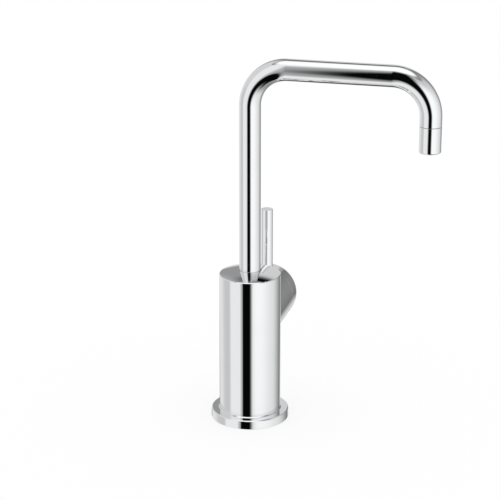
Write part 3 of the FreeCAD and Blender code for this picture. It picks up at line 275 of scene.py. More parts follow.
# Every grid square becomes two triangles that face along its normals. Corners that meet are welded,
# so the piece is closed, and every triangle keeps the exact normals of its own patch.
def buildPiece(name, patches, body, slot, replaced, axis="upright"):
    corners, normals = [], []
    for points, ways in patches:
        squares, turns = gridSquares(points), gridSquares(ways)
        facing = np.cross(squares[:, 2] - squares[:, 0], squares[:, 3] - squares[:, 1])
        if np.sum(facing * turns.mean(1)) < 0:  # this grid runs the other way round
            squares, turns = squares[:, ::-1], turns[:, ::-1]
        corners.append(squares[:, twoTriangles].reshape(-1, 3))
        normals.append(turns[:, twoTriangles].reshape(-1, 3))
    corners, normals = np.concatenate(corners), np.concatenate(normals)
    rounded = np.round(corners, weldDecimals)
    _, first, welded = np.unique(rounded, axis=0, return_index=True, return_inverse=True)
    faces = welded.reshape(-1, 3)
    real = (faces[:, 0] != faces[:, 1]) & (faces[:, 1] != faces[:, 2]) & (faces[:, 2] != faces[:, 0])
    faces, normals = faces[real], normals.reshape(-1, 3, 3)[real].reshape(-1, 3)
    mesh = bpy.data.meshes.new(name)
    mesh.vertices.add(len(first))
    mesh.vertices.foreach_set("co", (corners[first] * mm).ravel())
    mesh.loops.add(faces.size)
    mesh.loops.foreach_set("vertex_index", faces.ravel())
    mesh.polygons.add(len(faces))
    mesh.polygons.foreach_set("loop_start", np.arange(0, faces.size, 3))
    mesh.polygons.foreach_set("use_smooth", np.ones(len(faces), bool))
    mesh.update(calc_edges=True)
    mesh.normals_split_custom_set(normals / np.linalg.norm(normals, axis=1, keepdims=True))
    mesh.materials.append(materials[slot, axis])
    piece = bpy.data.objects.new(name, mesh)
    bpy.context.scene.collection.objects.link(piece)
    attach(piece, body)
    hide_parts(*replaced)
    return piece


# A closed outline through corners (a, b, rounding). A rounded corner becomes an arc that touches
# both sides. Rounding 0 keeps the corner sharp, with one normal for each side, and None marks a
# point on a curve, with the mean of both normals.
def roundedLine(corners, steps=6):
    points, ways = [], []
    for place, (a, b, rounding) in enumerate(corners):
        here = np.array([a, b], float)
        before = np.array(corners[place - 1][:2], float) - here
        after = np.array(corners[(place + 1) % len(corners)][:2], float) - here
        before, after = before / np.linalg.norm(before), after / np.linalg.norm(after)
        arriving, leaving = np.array([before[1], -before[0]]), np.array([-after[1], after[0]])
        if rounding is None:
            points.append(here)
            ways.append((arriving + leaving) / np.linalg.norm(arriving + leaving))
        elif rounding == 0:
            points += [here, here]
            ways += [arriving, leaving]
        else:
            half = math.acos(np.clip(before @ after, -1, 1)) / 2
            middle = here + (before + after) / np.linalg.norm(before + after) * rounding / math.sin(half)
            start = here + before * rounding / math.tan(half) - middle
            end = here + after * rounding / math.tan(half) - middle
            part, whole = np.linspace(0, 1, steps + 1)[:, None], math.pi - 2 * half
            spokes = np.sin((1 - part) * whole) * start + np.sin(part * whole) * end
            spokes = spokes / np.linalg.norm(spokes, axis=1, keepdims=True)
            points += list(middle + spokes * rounding)
            ways += list(spokes * np.sign(spokes[0] @ arriving))
    points, ways = np.array(points), np.array(ways)
    return np.vstack([points, points[:1]]), np.vstack([ways, ways[:1]])


# A line (radius, height) turned round an axis: point = centre + height along the axis + radius
# times the spoke at each angle, and its normal turns with it.
def lathe(line, segments, axis="Z", centre=(0.0, 0.0, 0.0)):
    points, ways = line
    angle = np.linspace(0, 2 * math.pi, segments + 1)
    angle[-1] = 0.0
    frames = {"Z": ((1, 0, 0), (0, 1, 0), (0, 0, 1)), "Y": ((0, 0, 1), (1, 0, 0), (0, 1, 0))}
    first, second, along = (np.array(way, float) for way in frames[axis])
    spoke = np.cos(angle)[None, :, None] * first + np.sin(angle)[None, :, None] * second
    place = points[:, 0, None, None] * spoke + points[:, 1, None, None] * along + np.array(centre)
    return place, ways[:, 0, None, None] * spoke + ways[:, 1, None, None] * along


# Once round the edge of a field, given as two lists of values.
def fieldEdge(across, along):
    sides = [(across[:-1], along[0]), (across[-1], along[:-1]),
             (across[:0:-1], along[-1]), (across[0], along[::-1])]
    return np.concatenate([np.stack(np.broadcast_arrays(*side), -1) for side in sides])


# The same on a cylinder, seen in plan: sideways place = radius times the sine of the angle.
def roundFieldEdge(radius, angle, along):
    edge = fieldEdge(angle, along)
    edge[:, 0] = radius * np.sin(edge[:, 0])
    return edge


# Directions in plan from the middle of a hole to the points of its field's edge.
def holeSpokes(edge, middle):
    ways = edge - middle
    return ways / np.linalg.norm(ways, axis=-1, keepdims=True)


# A field with a round hole: rings that run straight in plan from the hole to the field's edge, and
# lift puts them on the surface.
def holedField(edge, middle, radius, spokes, lift, rings=5):
    circle = middle + radius * spokes
    return lift(circle + np.linspace(0, 1, rings)[:, None, None] * (edge - circle))


# The upright wall of a hole between two lists of heights, facing its middle.
def holeWall(middle, radius, spokes, high, low):
    ring = middle + radius * spokes
    ends = [np.column_stack([ring, np.broadcast_to(height, len(ring))]) for height in (high, low)]
    ways = -np.column_stack([spokes, np.zeros(len(ring))])
    return np.stack(ends), np.stack([ways, ways])


# The flat ring where a hole steps from one radius to another; facing is 1 upwards, -1 downwards.
def holeLedge(middle, radii, spokes, height, facing):
    rings = [np.column_stack([middle + radius * spokes, np.full(len(spokes), height)]) for radius in radii]
    return np.stack(rings), np.zeros((2, len(spokes), 3)) + np.array([0.0, 0.0, facing])


# Points of an arc (radius, height) between two radii, on a ball centred on the axis:
# height = centre height + square root of ball radius squared minus radius squared.
def ballArc(outer, inner, ballRadius, ballHeight, steps):
    radii = np.linspace(outer, inner, steps + 1)[1:-1]
    return [(r, ballHeight + math.sqrt(ballRadius ** 2 - r ** 2), None) for r in radii]


# Base flange: bevelled round plate with the small collar round the body's foot. A screw's column is
# its angle, counted in segments. A hole's field reaches fieldColumns to both sides of its middle.
flange = {"radius": 33.0, "height": 7.8, "rimBevel": 0.75, "footRounding": 0.25, "edgeRounding": 0.12,
          "bossRadius": 15.05, "bossRounding": 0.15,
          "collarOuter": 26.85, "collarInner": 26.05, "collarTop": 8.5,
          "collarFootRounding": 0.02, "collarTopRounding": 0.04,
          "gasketOuter": 30.05, "gasketInner": 25.0, "gasketDepth": 1.65, "gasketRounding": 0.1,
          "screwCircle": 19.5, "screwColumns": (72, 168, 264), "screwBore": 2.05,
          "headBore": 3.55, "headSeat": 3.0, "fieldColumns": 16, "fieldRows": 16, "segments": 288}


# Half of the section: corners (radius, height, rounding), as in every outline below.
def flangeOutline():
    top, radius, bevel = flange["height"], flange["radius"], flange["rimBevel"]
    boss, bossRounding = flange["bossRadius"], flange["bossRounding"]
    edge, groove = flange["edgeRounding"], flange["gasketRounding"]
    outer, inner, depth = flange["gasketOuter"], flange["gasketInner"], flange["gasketDepth"]
    return [(boss, 0, bossRounding), (boss, top, bossRounding),
            (flange["collarInner"], top, flange["collarFootRounding"]),
            (flange["collarInner"], flange["collarTop"], flange["collarTopRounding"]),
            (flange["collarOuter"], top, edge), (radius - bevel, top, edge),
            (radius, top - bevel, edge), (radius, 0, flange["footRounding"]),
            (outer, 0, groove), (outer, depth, groove), (inner, depth, groove), (inner, 0, groove)]


# A point in plan = radius times the cosine and sine of its angle.
def planPoint(angle, radius):
    return np.stack(np.broadcast_arrays(radius * np.cos(angle), radius * np.sin(angle)), -1)


# The lathe's grid, with three holes from below for the screws and their heads. Each hole goes through
# two flat faces: the underside, which is the outline's last stretch, and the top inside the collar.
def flangePatches():
    outline, ways = roundedLine(flangeOutline())
    points, normals = lathe((outline, ways), flange["segments"])
    low, high = np.flatnonzero(np.isclose(outline[:, 1], flange["height"]))[:2]
    patches = [(points[:low + 1], normals[:low + 1]), (points[high:-1], normals[high:-1])]
    half, turn, seat = flange["fieldColumns"], 2 * math.pi / flange["segments"], flange["headSeat"]
    starts = list(flange["screwColumns"])
    for start, following in zip(starts, starts[1:] + [starts[0] + flange["segments"]]):
        middle = flange["screwCircle"] * np.array([math.cos(start * turn), math.sin(start * turn)])
        spokes = None
        for rows, height, bore, facing in (((-2, -1), 0.0, flange["headBore"], -1.0),
                                           ((low, high), flange["height"], flange["screwBore"], 1.0)):
            def lift(plan):
                up = np.zeros(plan.shape[:-1] + (1,))
                return np.concatenate([plan, up + height], -1), np.concatenate([0 * plan, up + facing], -1)
            radii = np.linspace(*sorted(outline[list(rows), 0]), flange["fieldRows"] + 1)
            edge = planPoint(*fieldEdge(np.arange(start - half, start + half + 1) * turn, radii).T)
            spokes = holeSpokes(edge, middle) if spokes is None else spokes
            patches.append(holedField(edge, middle, bore, spokes, lift))
            columns = np.arange(start + half, following - half + 1)[:, None]
            patches.append(lift(planPoint(columns * turn, radii)))
        patches.append(holeWall(middle, flange["headBore"], spokes, seat, 0.0))
        patches.append(holeWall(middle, flange["screwBore"], spokes, flange["height"], seat))
        patches.append(holeLedge(middle, (flange["headBore"], flange["screwBore"]), spokes, seat, -1.0))
    return patches


buildPiece("chromeFlange", flangePatches(), "body", "polished_chrome", ["base_flange"])

# Body: upright tube with a thick domed roof, which the spout comes out of.
shell = {"radius": 26.0, "wall": 2.0, "foot": 7.85, "rimHeight": 129.0, "rimInset": 0.6, "roofUnder": 125.0,
         "riserHole": 9.3, "ballRadius": 82.645, "ballHeight": 50.355, "domeSteps": 24,
         "boreRounding": 0.1, "roofRounding": 0.2, "holeRounding": 0.15, "rimRounding": 0.12,
         "shoulderRounding": 0.3, "footRounding": 0.15, "portRadius": layout["portRadius"],
         "portHeight": layout["hubHeight"], "fieldColumns": 36, "fieldRows": 72, "segments": 288}


def bodyOutline():
    radius, hole, under = shell["radius"], shell["riserHole"], shell["roofUnder"]
    bore, edge = radius - shell["wall"], radius - shell["rimInset"]
    crown = shell["ballHeight"] + math.sqrt(shell["ballRadius"] ** 2 - hole ** 2)
    dome = ballArc(edge, hole, shell["ballRadius"], shell["ballHeight"], shell["domeSteps"])
    return [(bore, shell["foot"], shell["boreRounding"]), (bore, under, shell["roofRounding"]),
            (hole, under, shell["holeRounding"]), (hole, crown, shell["roofRounding"]), *dome[::-1],
            (edge, shell["rimHeight"], shell["rimRounding"]),
            (radius, shell["rimHeight"] - shell["rimInset"], shell["shoulderRounding"]),
            (radius, shell["foot"], shell["footRounding"])]


# The lathe's grid, with a port behind the hub for the valve: a hole through the tube's wall. On the
# wall, y = the square root of radius squared minus x squared.
def bodyPatches():
    outline, ways = roundedLine(bodyOutline())
    points, normals = lathe((outline, ways), shell["segments"])
    middle, segments, half = (0.0, shell["portHeight"]), shell["segments"], shell["fieldColumns"]
    turn, quarter = 2 * math.pi / segments, segments // 4  # the port's middle is a quarter turn round
    patches, rims, spokes, done = [], [], None, 0
    for radius, facing in ((shell["radius"] - shell["wall"], -1.0), (shell["radius"], 1.0)):
        def lift(plan):
            y = np.sqrt(radius ** 2 - plan[..., 0] ** 2)
            ways = np.stack([plan[..., 0], y, 0 * y], -1) * facing / radius
            return np.stack([plan[..., 0], y, plan[..., 1]], -1), ways
        first, last = np.flatnonzero(np.isclose(outline[:-1, 0], radius))
        patches.append((points[done:first + 1], normals[done:first + 1]))
        along = np.linspace(*sorted(outline[[first, last], 1]), shell["fieldRows"] + 1)
        edge = roundFieldEdge(radius, np.arange(-half, half + 1) * turn, along)
        spokes = holeSpokes(edge, middle) if spokes is None else spokes
        patches.append(holedField(edge, middle, shell["portRadius"], spokes, lift))
        rims.append(lift(middle + shell["portRadius"] * spokes)[0])
        angle = np.arange(quarter + half, segments + quarter - half + 1)[:, None] * turn
        ways = np.stack(np.broadcast_arrays(np.cos(angle), np.sin(angle), 0 * along), -1)
        patches.append((ways * radius + np.stack([0 * along, 0 * along, along], -1), ways * facing))
        done = last
    patches.append((points[done:], normals[done:]))
    inward = -np.column_stack([spokes[:, 0], 0 * spokes[:, 0], spokes[:, 1]])
    patches.append((np.stack(rims), np.stack([inward, inward])))
    return patches


buildPiece("chromeBody", bodyPatches(), "body", "polished_chrome", ["body_shell"])
print("flange and body built")

# Side hub: level tube whose inner end is cut to the round of the body.
hub = {"radius": layout["hubRadius"], "bore": 22.75, "height": layout["hubHeight"], "mouth": 50.8,
       "floor": 30.0, "portRadius": layout["portRadius"], "bodyGap": 0.05, "portRounding": 0.1,
       "floorRounding": 0.3, "boreRounding": 0.12, "mouthRounding": 0.06, "segments": 288}


# The lathe's line is closed at the body by a saddle: there a point's distance from the body's axis
# is the square root of body radius squared minus its sideways place squared.
def hubPatch():
    radius, bore, port = hub["radius"], hub["bore"], hub["portRadius"]
    body = shell["radius"] + hub["bodyGap"]
    outline, ways = roundedLine([
        (radius, 0, 0), (port, 0, 0), (port, hub["floor"], hub["portRounding"]),
        (bore, hub["floor"], hub["floorRounding"]), (bore, hub["mouth"], hub["boreRounding"]),
        (radius, hub["mouth"], hub["mouthRounding"])])
    points, normals = lathe((outline, ways), hub["segments"], "Y", (0.0, 0.0, hub["height"]))
    saddle = np.sqrt(body ** 2 - points[..., 0] ** 2)
    atBody = np.isclose(outline[:, 1], 0)
    points[atBody, :, 1] = saddle[atBody]
    inward = np.stack([-points[..., 0], -points[..., 1], 0 * points[..., 2]], -1) / body
    facing = atBody & np.isclose(ways[:, 1], -1)
    normals[facing] = inward[facing]
    return points, normals


buildPiece("chromeHub", [hubPatch()], "body", "polished_chrome", ["hub_housing"], "hub")

# Lever cap: the outer part of the hub, which turns on the glide ring. The rod and its stem go down
# through it from above, and a grub screw comes up from below.
cap = {"radius": layout["hubRadius"], "inner": 51.0, "outer": 64.6, "faceRounding": 0.5,
       "seamRounding": 0.06, "innerRounding": 0.1, "grooveOuter": 21.25, "grooveInner": 18.2,
       "grooveEnd": 52.0, "recess": 9.55, "recessEnd": 60.8, "rodPlace": layout["leverPlace"],
       "rodBore": 5.15, "boreFloor": 102.5, "stemBore": 1.85, "grubPlace": 53.6, "grubBore": 1.55,
       "fieldColumns": 12, "fieldRows": 36, "segments": 288}


def capOutline():
    radius, inner, groove, within = cap["radius"], cap["inner"], cap["grooveEnd"], cap["innerRounding"]
    return [(0, cap["recessEnd"], 0), (0, cap["outer"], 0), (radius, cap["outer"], cap["faceRounding"]),
            (radius, inner, cap["seamRounding"]), (cap["grooveOuter"], inner, within),
            (cap["grooveOuter"], groove, within), (cap["grooveInner"], groove, within),
            (cap["grooveInner"], inner, within), (cap["recess"], inner, within),
            (cap["recess"], cap["recessEnd"], within)]


# Rise of a level cylinder over its axis: the square root of radius squared minus sideways place
# squared, up or down.
def levelRise(radius, side, x):
    return side * np.sqrt(radius ** 2 - x ** 2)


# The edge in plan of the field round a hole of the cap.
def stripEdge(radius, along):
    angle = np.arange(-cap["fieldColumns"], cap["fieldColumns"] + 1) * 2 * math.pi / cap["segments"]
    return roundFieldEdge(radius, angle, along)


# One strip of a level cylinder with a hole at its top and one at its bottom.
def holedStrip(radius, ends, facing, holes):
    along = np.linspace(*sorted(ends), cap["fieldRows"] + 1)
    half, turn = cap["fieldColumns"], 2 * math.pi / cap["segments"]
    patches = []
    for side, (place, bore, spokes) in zip((1, -1), holes):
        def lift(plan):
            rise = levelRise(radius, side, plan[..., 0])
            ways = np.stack([plan[..., 0], 0 * rise, rise], -1) * facing / radius
            return np.stack([plan[..., 0], plan[..., 1], hub["height"] + rise], -1), ways
        patches.append(holedField(stripEdge(radius, along), (0.0, place), bore, spokes, lift))
        first = cap["segments"] // 2 * (side < 0) + half
        angle = np.arange(first, first + cap["segments"] // 2 - 2 * half + 1) * turn
        ways = np.stack([np.sin(angle), 0 * angle, np.cos(angle)], -1)[:, None]
        ways = ways * np.ones((1, len(along), 1))
        middle = np.array([0.0, 0.0, hub["height"]]) + along[None, :, None] * np.array([0.0, 1.0, 0.0])
        patches.append((middle + radius * ways, ways * facing))
    return patches


# The lathe's grid without its two cylinders, those two with their holes, and the walls of the holes.
def capPatches():
    outline, ways = roundedLine(capOutline())
    points, normals = lathe((outline, ways), cap["segments"], "Y", (0.0, 0.0, hub["height"]))
    outside = np.flatnonzero(np.isclose(outline[:-1, 0], cap["radius"]))
    inside = np.flatnonzero(np.isclose(outline[:-1, 0], cap["recess"]))
    rod, grub, centre = cap["rodPlace"], cap["grubPlace"], hub["height"]
    along = np.linspace(*sorted(outline[outside, 1]), cap["fieldRows"] + 1)
    edge = stripEdge(cap["radius"], along)
    rodWays, grubWays = holeSpokes(edge, (0.0, rod)), holeSpokes(edge, (0.0, grub))
    patches = [(points[start:end], normals[start:end]) for start, end in
               ((0, outside[0] + 1), (outside[1], inside[0] + 1), (inside[1], len(points)))]
    patches += holedStrip(cap["radius"], outline[outside, 1], 1.0,
                          ((rod, cap["rodBore"], rodWays), (grub, cap["grubBore"], grubWays)))
    patches += holedStrip(cap["recess"], outline[inside, 1], -1.0,
                          ((rod, cap["stemBore"], rodWays), (grub, cap["grubBore"], grubWays)))
    mouth = centre + levelRise(cap["radius"], 1, cap["rodBore"] * rodWays[:, 0])
    stemEnd = centre + levelRise(cap["recess"], 1, cap["stemBore"] * rodWays[:, 0])
    patches.append(holeWall((0.0, rod), cap["rodBore"], rodWays, mouth, cap["boreFloor"]))
    patches.append(holeWall((0.0, rod), cap["stemBore"], rodWays, cap["boreFloor"], stemEnd))
    patches.append(holeLedge((0.0, rod), (cap["rodBore"], cap["stemBore"]), rodWays, cap["boreFloor"], 1.0))
    outer = centre + levelRise(cap["radius"], -1, cap["grubBore"] * grubWays[:, 0])
    inner = centre + levelRise(cap["recess"], -1, cap["grubBore"] * grubWays[:, 0])
    patches.append(holeWall((0.0, grub), cap["grubBore"], grubWays, inner, outer))
    return patches


buildPiece("chromeCap", capPatches(), "handle", "polished_chrome", ["lever_cap"], "hub")

# Lever rod: upright, with a stem below that reaches into the drive collar.
rod = {"radius": 5.1, "fromBody": layout["leverPlace"], "foot": 108.75, "top": 168.5, "topRounding": 0.45,
       "footRounding": 0.1, "stemRadius": 1.8, "stemFoot": 101.3, "stemRounding": 0.2, "segments": 144}


def rodOutline():
    return [(0, rod["stemFoot"], 0), (0, rod["top"], 0), (rod["radius"], rod["top"], rod["topRounding"]),
            (rod["radius"], rod["foot"], rod["footRounding"]),
            (rod["stemRadius"], rod["foot"], rod["footRounding"]),
            (rod["stemRadius"], rod["stemFoot"], rod["stemRounding"])]


rodPatch = lathe(roundedLine(rodOutline()), rod["segments"], centre=(0.0, rod["fromBody"], 0.0))
buildPiece("chromeRod", [rodPatch], "lever", "polished_chrome", ["lever_rod"])

# Return spring under the rod, built at rest; in the tap it is pressed together as the lever is pushed.
spring = {"coil": 3.8, "wire": 0.3, "turns": 3.5, "place": layout["leverPlace"], "first": 102.85,
          "last": 108.38, "anchor": 102.5, "pressedShare": 0.36, "around": 16, "steps": 168}


# A circle carried along a coil. The wire's middle = coil radius times (cosine, sine) of the angle,
# and its height grows evenly with the angle.
def springPatches():
    turn = np.linspace(0, 2 * math.pi * spring["turns"], spring["steps"] + 1)
    height = np.linspace(spring["first"], spring["last"], spring["steps"] + 1)
    coil, slope = spring["coil"], (spring["last"] - spring["first"]) / turn[-1]
    middle = np.stack([coil * np.cos(turn), spring["place"] + coil * np.sin(turn), height], -1)
    ahead = np.stack([-coil * np.sin(turn), coil * np.cos(turn), 0 * turn + slope], -1)
    ahead = ahead / np.linalg.norm(ahead, axis=1, keepdims=True)
    aside = np.stack([np.cos(turn), np.sin(turn), 0 * turn], -1)
    upward = np.cross(aside, ahead)
    angle = np.linspace(0, 2 * math.pi, spring["around"] + 1)[None, :, None]
    spoke = np.cos(angle) * aside[:, None] + np.sin(angle) * upward[:, None]
    wire = middle[:, None] + spring["wire"] * spoke
    patches = [(wire, spoke)]
    for end, way in ((0, -1), (-1, 1)):
        disc = np.stack([wire[end], np.broadcast_to(middle[end], wire[end].shape)])
        patches.append((disc, np.zeros_like(disc) + way * ahead[end]))
    return patches


springPiece = buildPiece("steelSpring", springPatches(), "handle", "stainless_steel", ["return_spring"])
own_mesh(springPiece)
print("hub, cap, rod and spring built")

# Spout: one tube with two quarter bends.
spout = {"radius": 9.0, "bore": 7.8, "foot": 117.25, "armHeight": 305.5, "reach": layout["reach"],
         "bendRadius": 31.4, "end": 266.6, "bendSteps": 48, "segments": 144}


# A circle carried along riser, bend, arm, bend and drop. Point = middle of the tube + radius times
# (cosine of the angle times the side away from the bends' centres + sine of the angle times Y).
def spoutPatches():
    quarter = np.linspace(0, math.pi / 2, spout["bendSteps"])
    high, bend, reach = spout["armHeight"], spout["bendRadius"], spout["reach"]
    x = np.concatenate([[0], bend - bend * np.cos(quarter), reach - bend + bend * np.sin(quarter), [reach]])
    z = np.concatenate([[spout["foot"]], high - bend + bend * np.sin(quarter),
                        high - bend + bend * np.cos(quarter), [spout["end"]]])
    lean = np.concatenate([[math.pi / 2], math.pi / 2 - quarter, -quarter, [-math.pi / 2]])
    side = np.stack([-np.sin(lean), 0 * lean, np.cos(lean)], -1)
    angle = np.linspace(0, 2 * math.pi, spout["segments"] + 1)
    angle[-1] = 0.0
    sideways = np.array([0.0, 1.0, 0.0])
    spoke = np.cos(angle)[None, :, None] * side[:, None] + np.sin(angle)[None, :, None] * sideways
    middle = np.stack([x, 0 * x, z], -1)[:, None]
    outside, inside = middle + spoke * spout["radius"], middle + spoke * spout["bore"]
    down = np.zeros((2, len(angle), 3)) + np.array([0.0, 0.0, -1.0])
    rims = [(np.stack([outside[end], inside[end]]), down) for end in (0, -1)]
    return [(outside, spoke), (inside, -spoke)] + rims


buildPiece("chromeSpout", spoutPatches(), "spout", "polished_chrome", ["spout_tube"])

# Outlet sleeve: screwed on under a hairline seam, rounded at its lower edge. A well behind the seam
# keeps it dark.
sleeve = {"radius": 9.0, "foot": 244.55, "top": 266.2, "footRounding": 1.2, "seamRounding": 0.12,
          "mouth": 6.7, "mouthRounding": 0.3, "lipTop": 246.1, "nozzleSeat": 7.6, "seatTop": 258.45,
          "bore": 7.8, "stepRounding": 0.1, "seatRounding": 0.05, "wellRadius": 8.75, "wellFloor": 265.1,
          "wellRounding": 0.04, "segments": 144}


def sleeveOutline():
    foot, top, ledge, seat = sleeve["foot"], sleeve["top"], sleeve["lipTop"], sleeve["seatTop"]
    mouth, nozzle, bore, radius = sleeve["mouth"], sleeve["nozzleSeat"], sleeve["bore"], sleeve["radius"]
    lip, well = sleeve["wellRadius"], sleeve["wellFloor"]
    step, sharp = sleeve["stepRounding"], sleeve["seatRounding"]
    return [(mouth, foot, sleeve["mouthRounding"]), (mouth, ledge, step), (nozzle, ledge, sharp),
            (nozzle, seat, step), (bore, seat, sharp), (bore, well, step), (lip, well, step),
            (lip, top, sleeve["wellRounding"]), (radius, top, sleeve["seamRounding"]),
            (radius, foot, sleeve["footRounding"])]


sleevePatch = lathe(roundedLine(sleeveOutline()), sleeve["segments"], centre=(spout["reach"], 0.0, 0.0))
buildPiece("chromeSleeve", [sleevePatch], "spout", "polished_chrome", ["outlet_sleeve"], "outlet")
print("spout built")

# Floor, its size in metres: the camera sees it white with the tap's soft shadow, and other rays see
# it pale grey.
ground = {"size": 6.0, "shadowShare": 0.24, "seenByLight": (0.85, 0.85, 0.85, 1)}


# What the camera sees = the shaded share plus plain white for the rest.
def buildFloor():
    half = ground["size"] / 2
    mesh = bpy.data.meshes.new("floor")
    corners = [(-half, -half, 0), (half, -half, 0), (half, half, 0), (-half, half, 0)]
    mesh.from_pydata(corners, [], [(0, 1, 2, 3)])
    floor = bpy.data.objects.new("floor", mesh)
    bpy.context.scene.collection.objects.link(floor)
    floor.visible_glossy = False  # the chrome sees the studio's boards down there, as in a light tent
    material = bpy.data.materials.new("floor_white")
    material.use_nodes = True
    tree = material.node_tree
    tree.nodes.clear()
    share = ground["shadowShare"]
    shaded = addNode(tree, "ShaderNodeBsdfDiffuse", {"Color": (share, share, share, 1)})
    glow = addNode(tree, "ShaderNodeEmission", {"Color": white, "Strength": 1 - share})
    seen = addNode(tree, "ShaderNodeAddShader")
    feed(tree, shaded.outputs[0], seen.inputs[0])
    feed(tree, glow.outputs[0], seen.inputs[1])
    plain = addNode(tree, "ShaderNodeBsdfDiffuse", {"Color": ground["seenByLight"]})
    rays = addNode(tree, "ShaderNodeLightPath")
    choice = mixShaders(tree, rays.outputs["Is Camera Ray"], plain, seen)
    feed(tree, choice.outputs[0], addNode(tree, "ShaderNodeOutputMaterial").inputs[0])
    mesh.materials.append(material)


buildFloor()

# Studio: what the chrome sees. Each board is a soft-edged rectangle far away. Its angle is measured
# from the front (-Y) towards the spout's side (+X) and its height from the horizon, in degrees: the
# middle, half the width, and how soft the first and the last edge are. Level 1 is white, and a
# board hides those before it.
boards = {
    "leftWall": {"angle": (-103.9, 41.3, 19, 2.8), "height": (-18.5, 73.5, 7.7, 1.8), "level": 0.70},
    "leftFarShare": {"angle": (-128, 20, 12, 24), "height": (-26, 34, 14, 20), "level": 0.80},
    "leftNearShare": {"angle": (-80.3, 17.7, 30, 2.8), "height": (-26, 34, 14, 20), "level": 0.60},
    "nearLeftBox": {"angle": (-42.2, 22.9, 12, 11.8), "height": (-1.3, 81.3, 8, 16), "level": 0.883},
    "rightWall": {"angle": (87.5, 54.5, 12.8, 90), "height": (-1.5, 51.2, 24.5, 90), "level": 0.812},
    "rightBox": {"angle": (40.4, 39.4, 53.8, 59.7), "height": (-1.3, 29.7, 41, 27.6), "level": 1.05},
    "rightUpperGap": {"angle": (100, 50, 20, 20), "height": (57, 7, 6, 6), "level": 0.30},
    "backGap": {"angle": (159.5, 7.5, 90, 1.8), "height": (-7.3, 61.7, 11.7, 10.3), "level": 0.115},
    "leftBackStrip": {"angle": (-155, 10, 2, 8), "height": (-9.5, 11.5, 3, 10), "level": 0.74},
    "backLight": {"angle": (184, 11, 8, 2), "height": (3, 35, 10, 14), "level": 0.66},
    "backShade": {"angle": (-159.5, 11.5, 3, 12), "height": (-42.5, 21.5, 12, 3), "level": 0.08},
    "backBeam": {"angle": (-172.5, 15.5, 6, 20), "height": (45.9, 4.9, 10, 3), "level": 0.002},
    "frontFlag": {"angle": (3.7, 16.7, 3.7, 15), "height": (-14.8, 67.8, 3.7, 7.4), "level": 0.002},
    "lowFlag": {"angle": (22.6, 35.3, 4.7, 8.9), "height": (-71.5, 23.5, 4, 31), "level": 0.002},
}
room = {"between": 0.32, "ceiling": 1.10, "ceilingFrom": 62.0, "ceilingSoft": 5.0,
        "light": 1.0, "background": 1.0}


# 1 inside, 0 outside, smooth at both edges; distance is measured from the board's middle.
def bandMask(tree, distance, half, softFirst, softLast):
    start = smoothRise(tree, distance, -half - softFirst / 2, -half + softFirst / 2)
    end = smoothRise(tree, distance, half - softLast / 2, half + softLast / 2, 1.0, 0.0)
    return calculate(tree, "MULTIPLY", start, end)


# The new level where the mask is 1, the level so far where it is 0.
def cover(tree, level, mask, newLevel):
    kept = calculate(tree, "MULTIPLY", level, calculate(tree, "SUBTRACT", 1.0, mask))
    return calculate(tree, "MULTIPLY_ADD", mask, newLevel, kept)


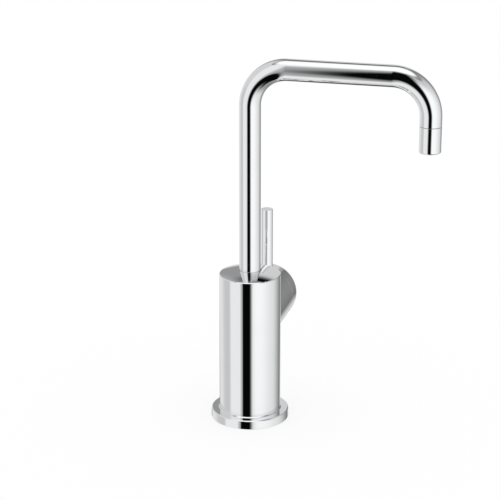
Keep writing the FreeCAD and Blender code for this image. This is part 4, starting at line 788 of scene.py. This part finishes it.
# Angle = arc tangent of x over minus y, height = arc sine of z, both in degrees.
def buildStudio():
    world = bpy.data.worlds.new("studio")
    bpy.context.scene.world = world
    world.use_nodes = True
    tree = world.node_tree
    tree.nodes.clear()
    way = addNode(tree, "ShaderNodeTexCoord").outputs["Generated"]
    x, y, z = addNode(tree, "ShaderNodeSeparateXYZ", {"Vector": way}).outputs
    angle = calculate(tree, "DEGREES", calculate(tree, "ARCTAN2", x, calculate(tree, "MULTIPLY", y, -1.0)))
    height = calculate(tree, "DEGREES", calculate(tree, "ARCSINE", z))
    level = room["between"]
    for board in boards.values():
        middle, half, softFirst, softLast = board["angle"]
        aside = calculate(tree, "WRAP", calculate(tree, "SUBTRACT", angle, middle), 180.0, -180.0)
        across = bandMask(tree, aside, half, softFirst, softLast)
        middle, half, softFirst, softLast = board["height"]
        upward = bandMask(tree, calculate(tree, "SUBTRACT", height, middle), half, softFirst, softLast)
        level = cover(tree, level, calculate(tree, "MULTIPLY", across, upward), board["level"])
    low, high = room["ceilingFrom"] - room["ceilingSoft"], room["ceilingFrom"] + room["ceilingSoft"]
    level = cover(tree, level, smoothRise(tree, height, low, high), room["ceiling"])
    reflected = addNode(tree, "ShaderNodeBackground", {"Color": white, "Strength": level})
    light = addNode(tree, "ShaderNodeBackground", {"Color": white, "Strength": room["light"]})
    backdrop = addNode(tree, "ShaderNodeBackground", {"Color": white, "Strength": room["background"]})
    rays = addNode(tree, "ShaderNodeLightPath").outputs
    mirrored = calculate(tree, "MAXIMUM", rays["Is Glossy Ray"], rays["Is Transmission Ray"])
    seen = mixShaders(tree, mirrored, light, reflected)
    seen = mixShaders(tree, rays["Is Camera Ray"], seen, backdrop)
    feed(tree, seen.outputs[0], addNode(tree, "ShaderNodeOutputWorld").inputs[0])


buildStudio()

# Camera: long lens, looking down on the tap from the front and a little from the spout's side. It
# sees what is between the nearest and the farthest distance, in metres.
view = {"lens": 129.63, "sensor": 36.0, "angle": 14.76, "height": 18.44, "distance": 1510.3,
        "lookAt": (0.0, 0.0, 149.5), "nearest": 0.05, "farthest": 20.0}


# Way to the camera = (cosine of height times sine of angle, minus cosine of height times cosine of
# angle, sine of height).
def placeCamera():
    turn, tilt = math.radians(view["angle"]), math.radians(view["height"])
    offset = Vector((math.cos(tilt) * math.sin(turn), -math.cos(tilt) * math.cos(turn), math.sin(tilt)))
    camera = bpy.data.objects.new("camera", bpy.data.cameras.new("camera"))
    camera.data.lens, camera.data.sensor_width = view["lens"], view["sensor"]
    camera.data.clip_start, camera.data.clip_end = view["nearest"], view["farthest"]
    camera.location = (Vector(view["lookAt"]) + offset * view["distance"]) * mm
    camera.rotation_euler = offset.to_track_quat("Z", "Y").to_euler()
    bpy.context.scene.collection.objects.link(camera)
    bpy.context.scene.camera = camera


placeCamera()
bpy.context.scene.view_settings.view_transform = "Standard"
print("floor, studio and camera set")
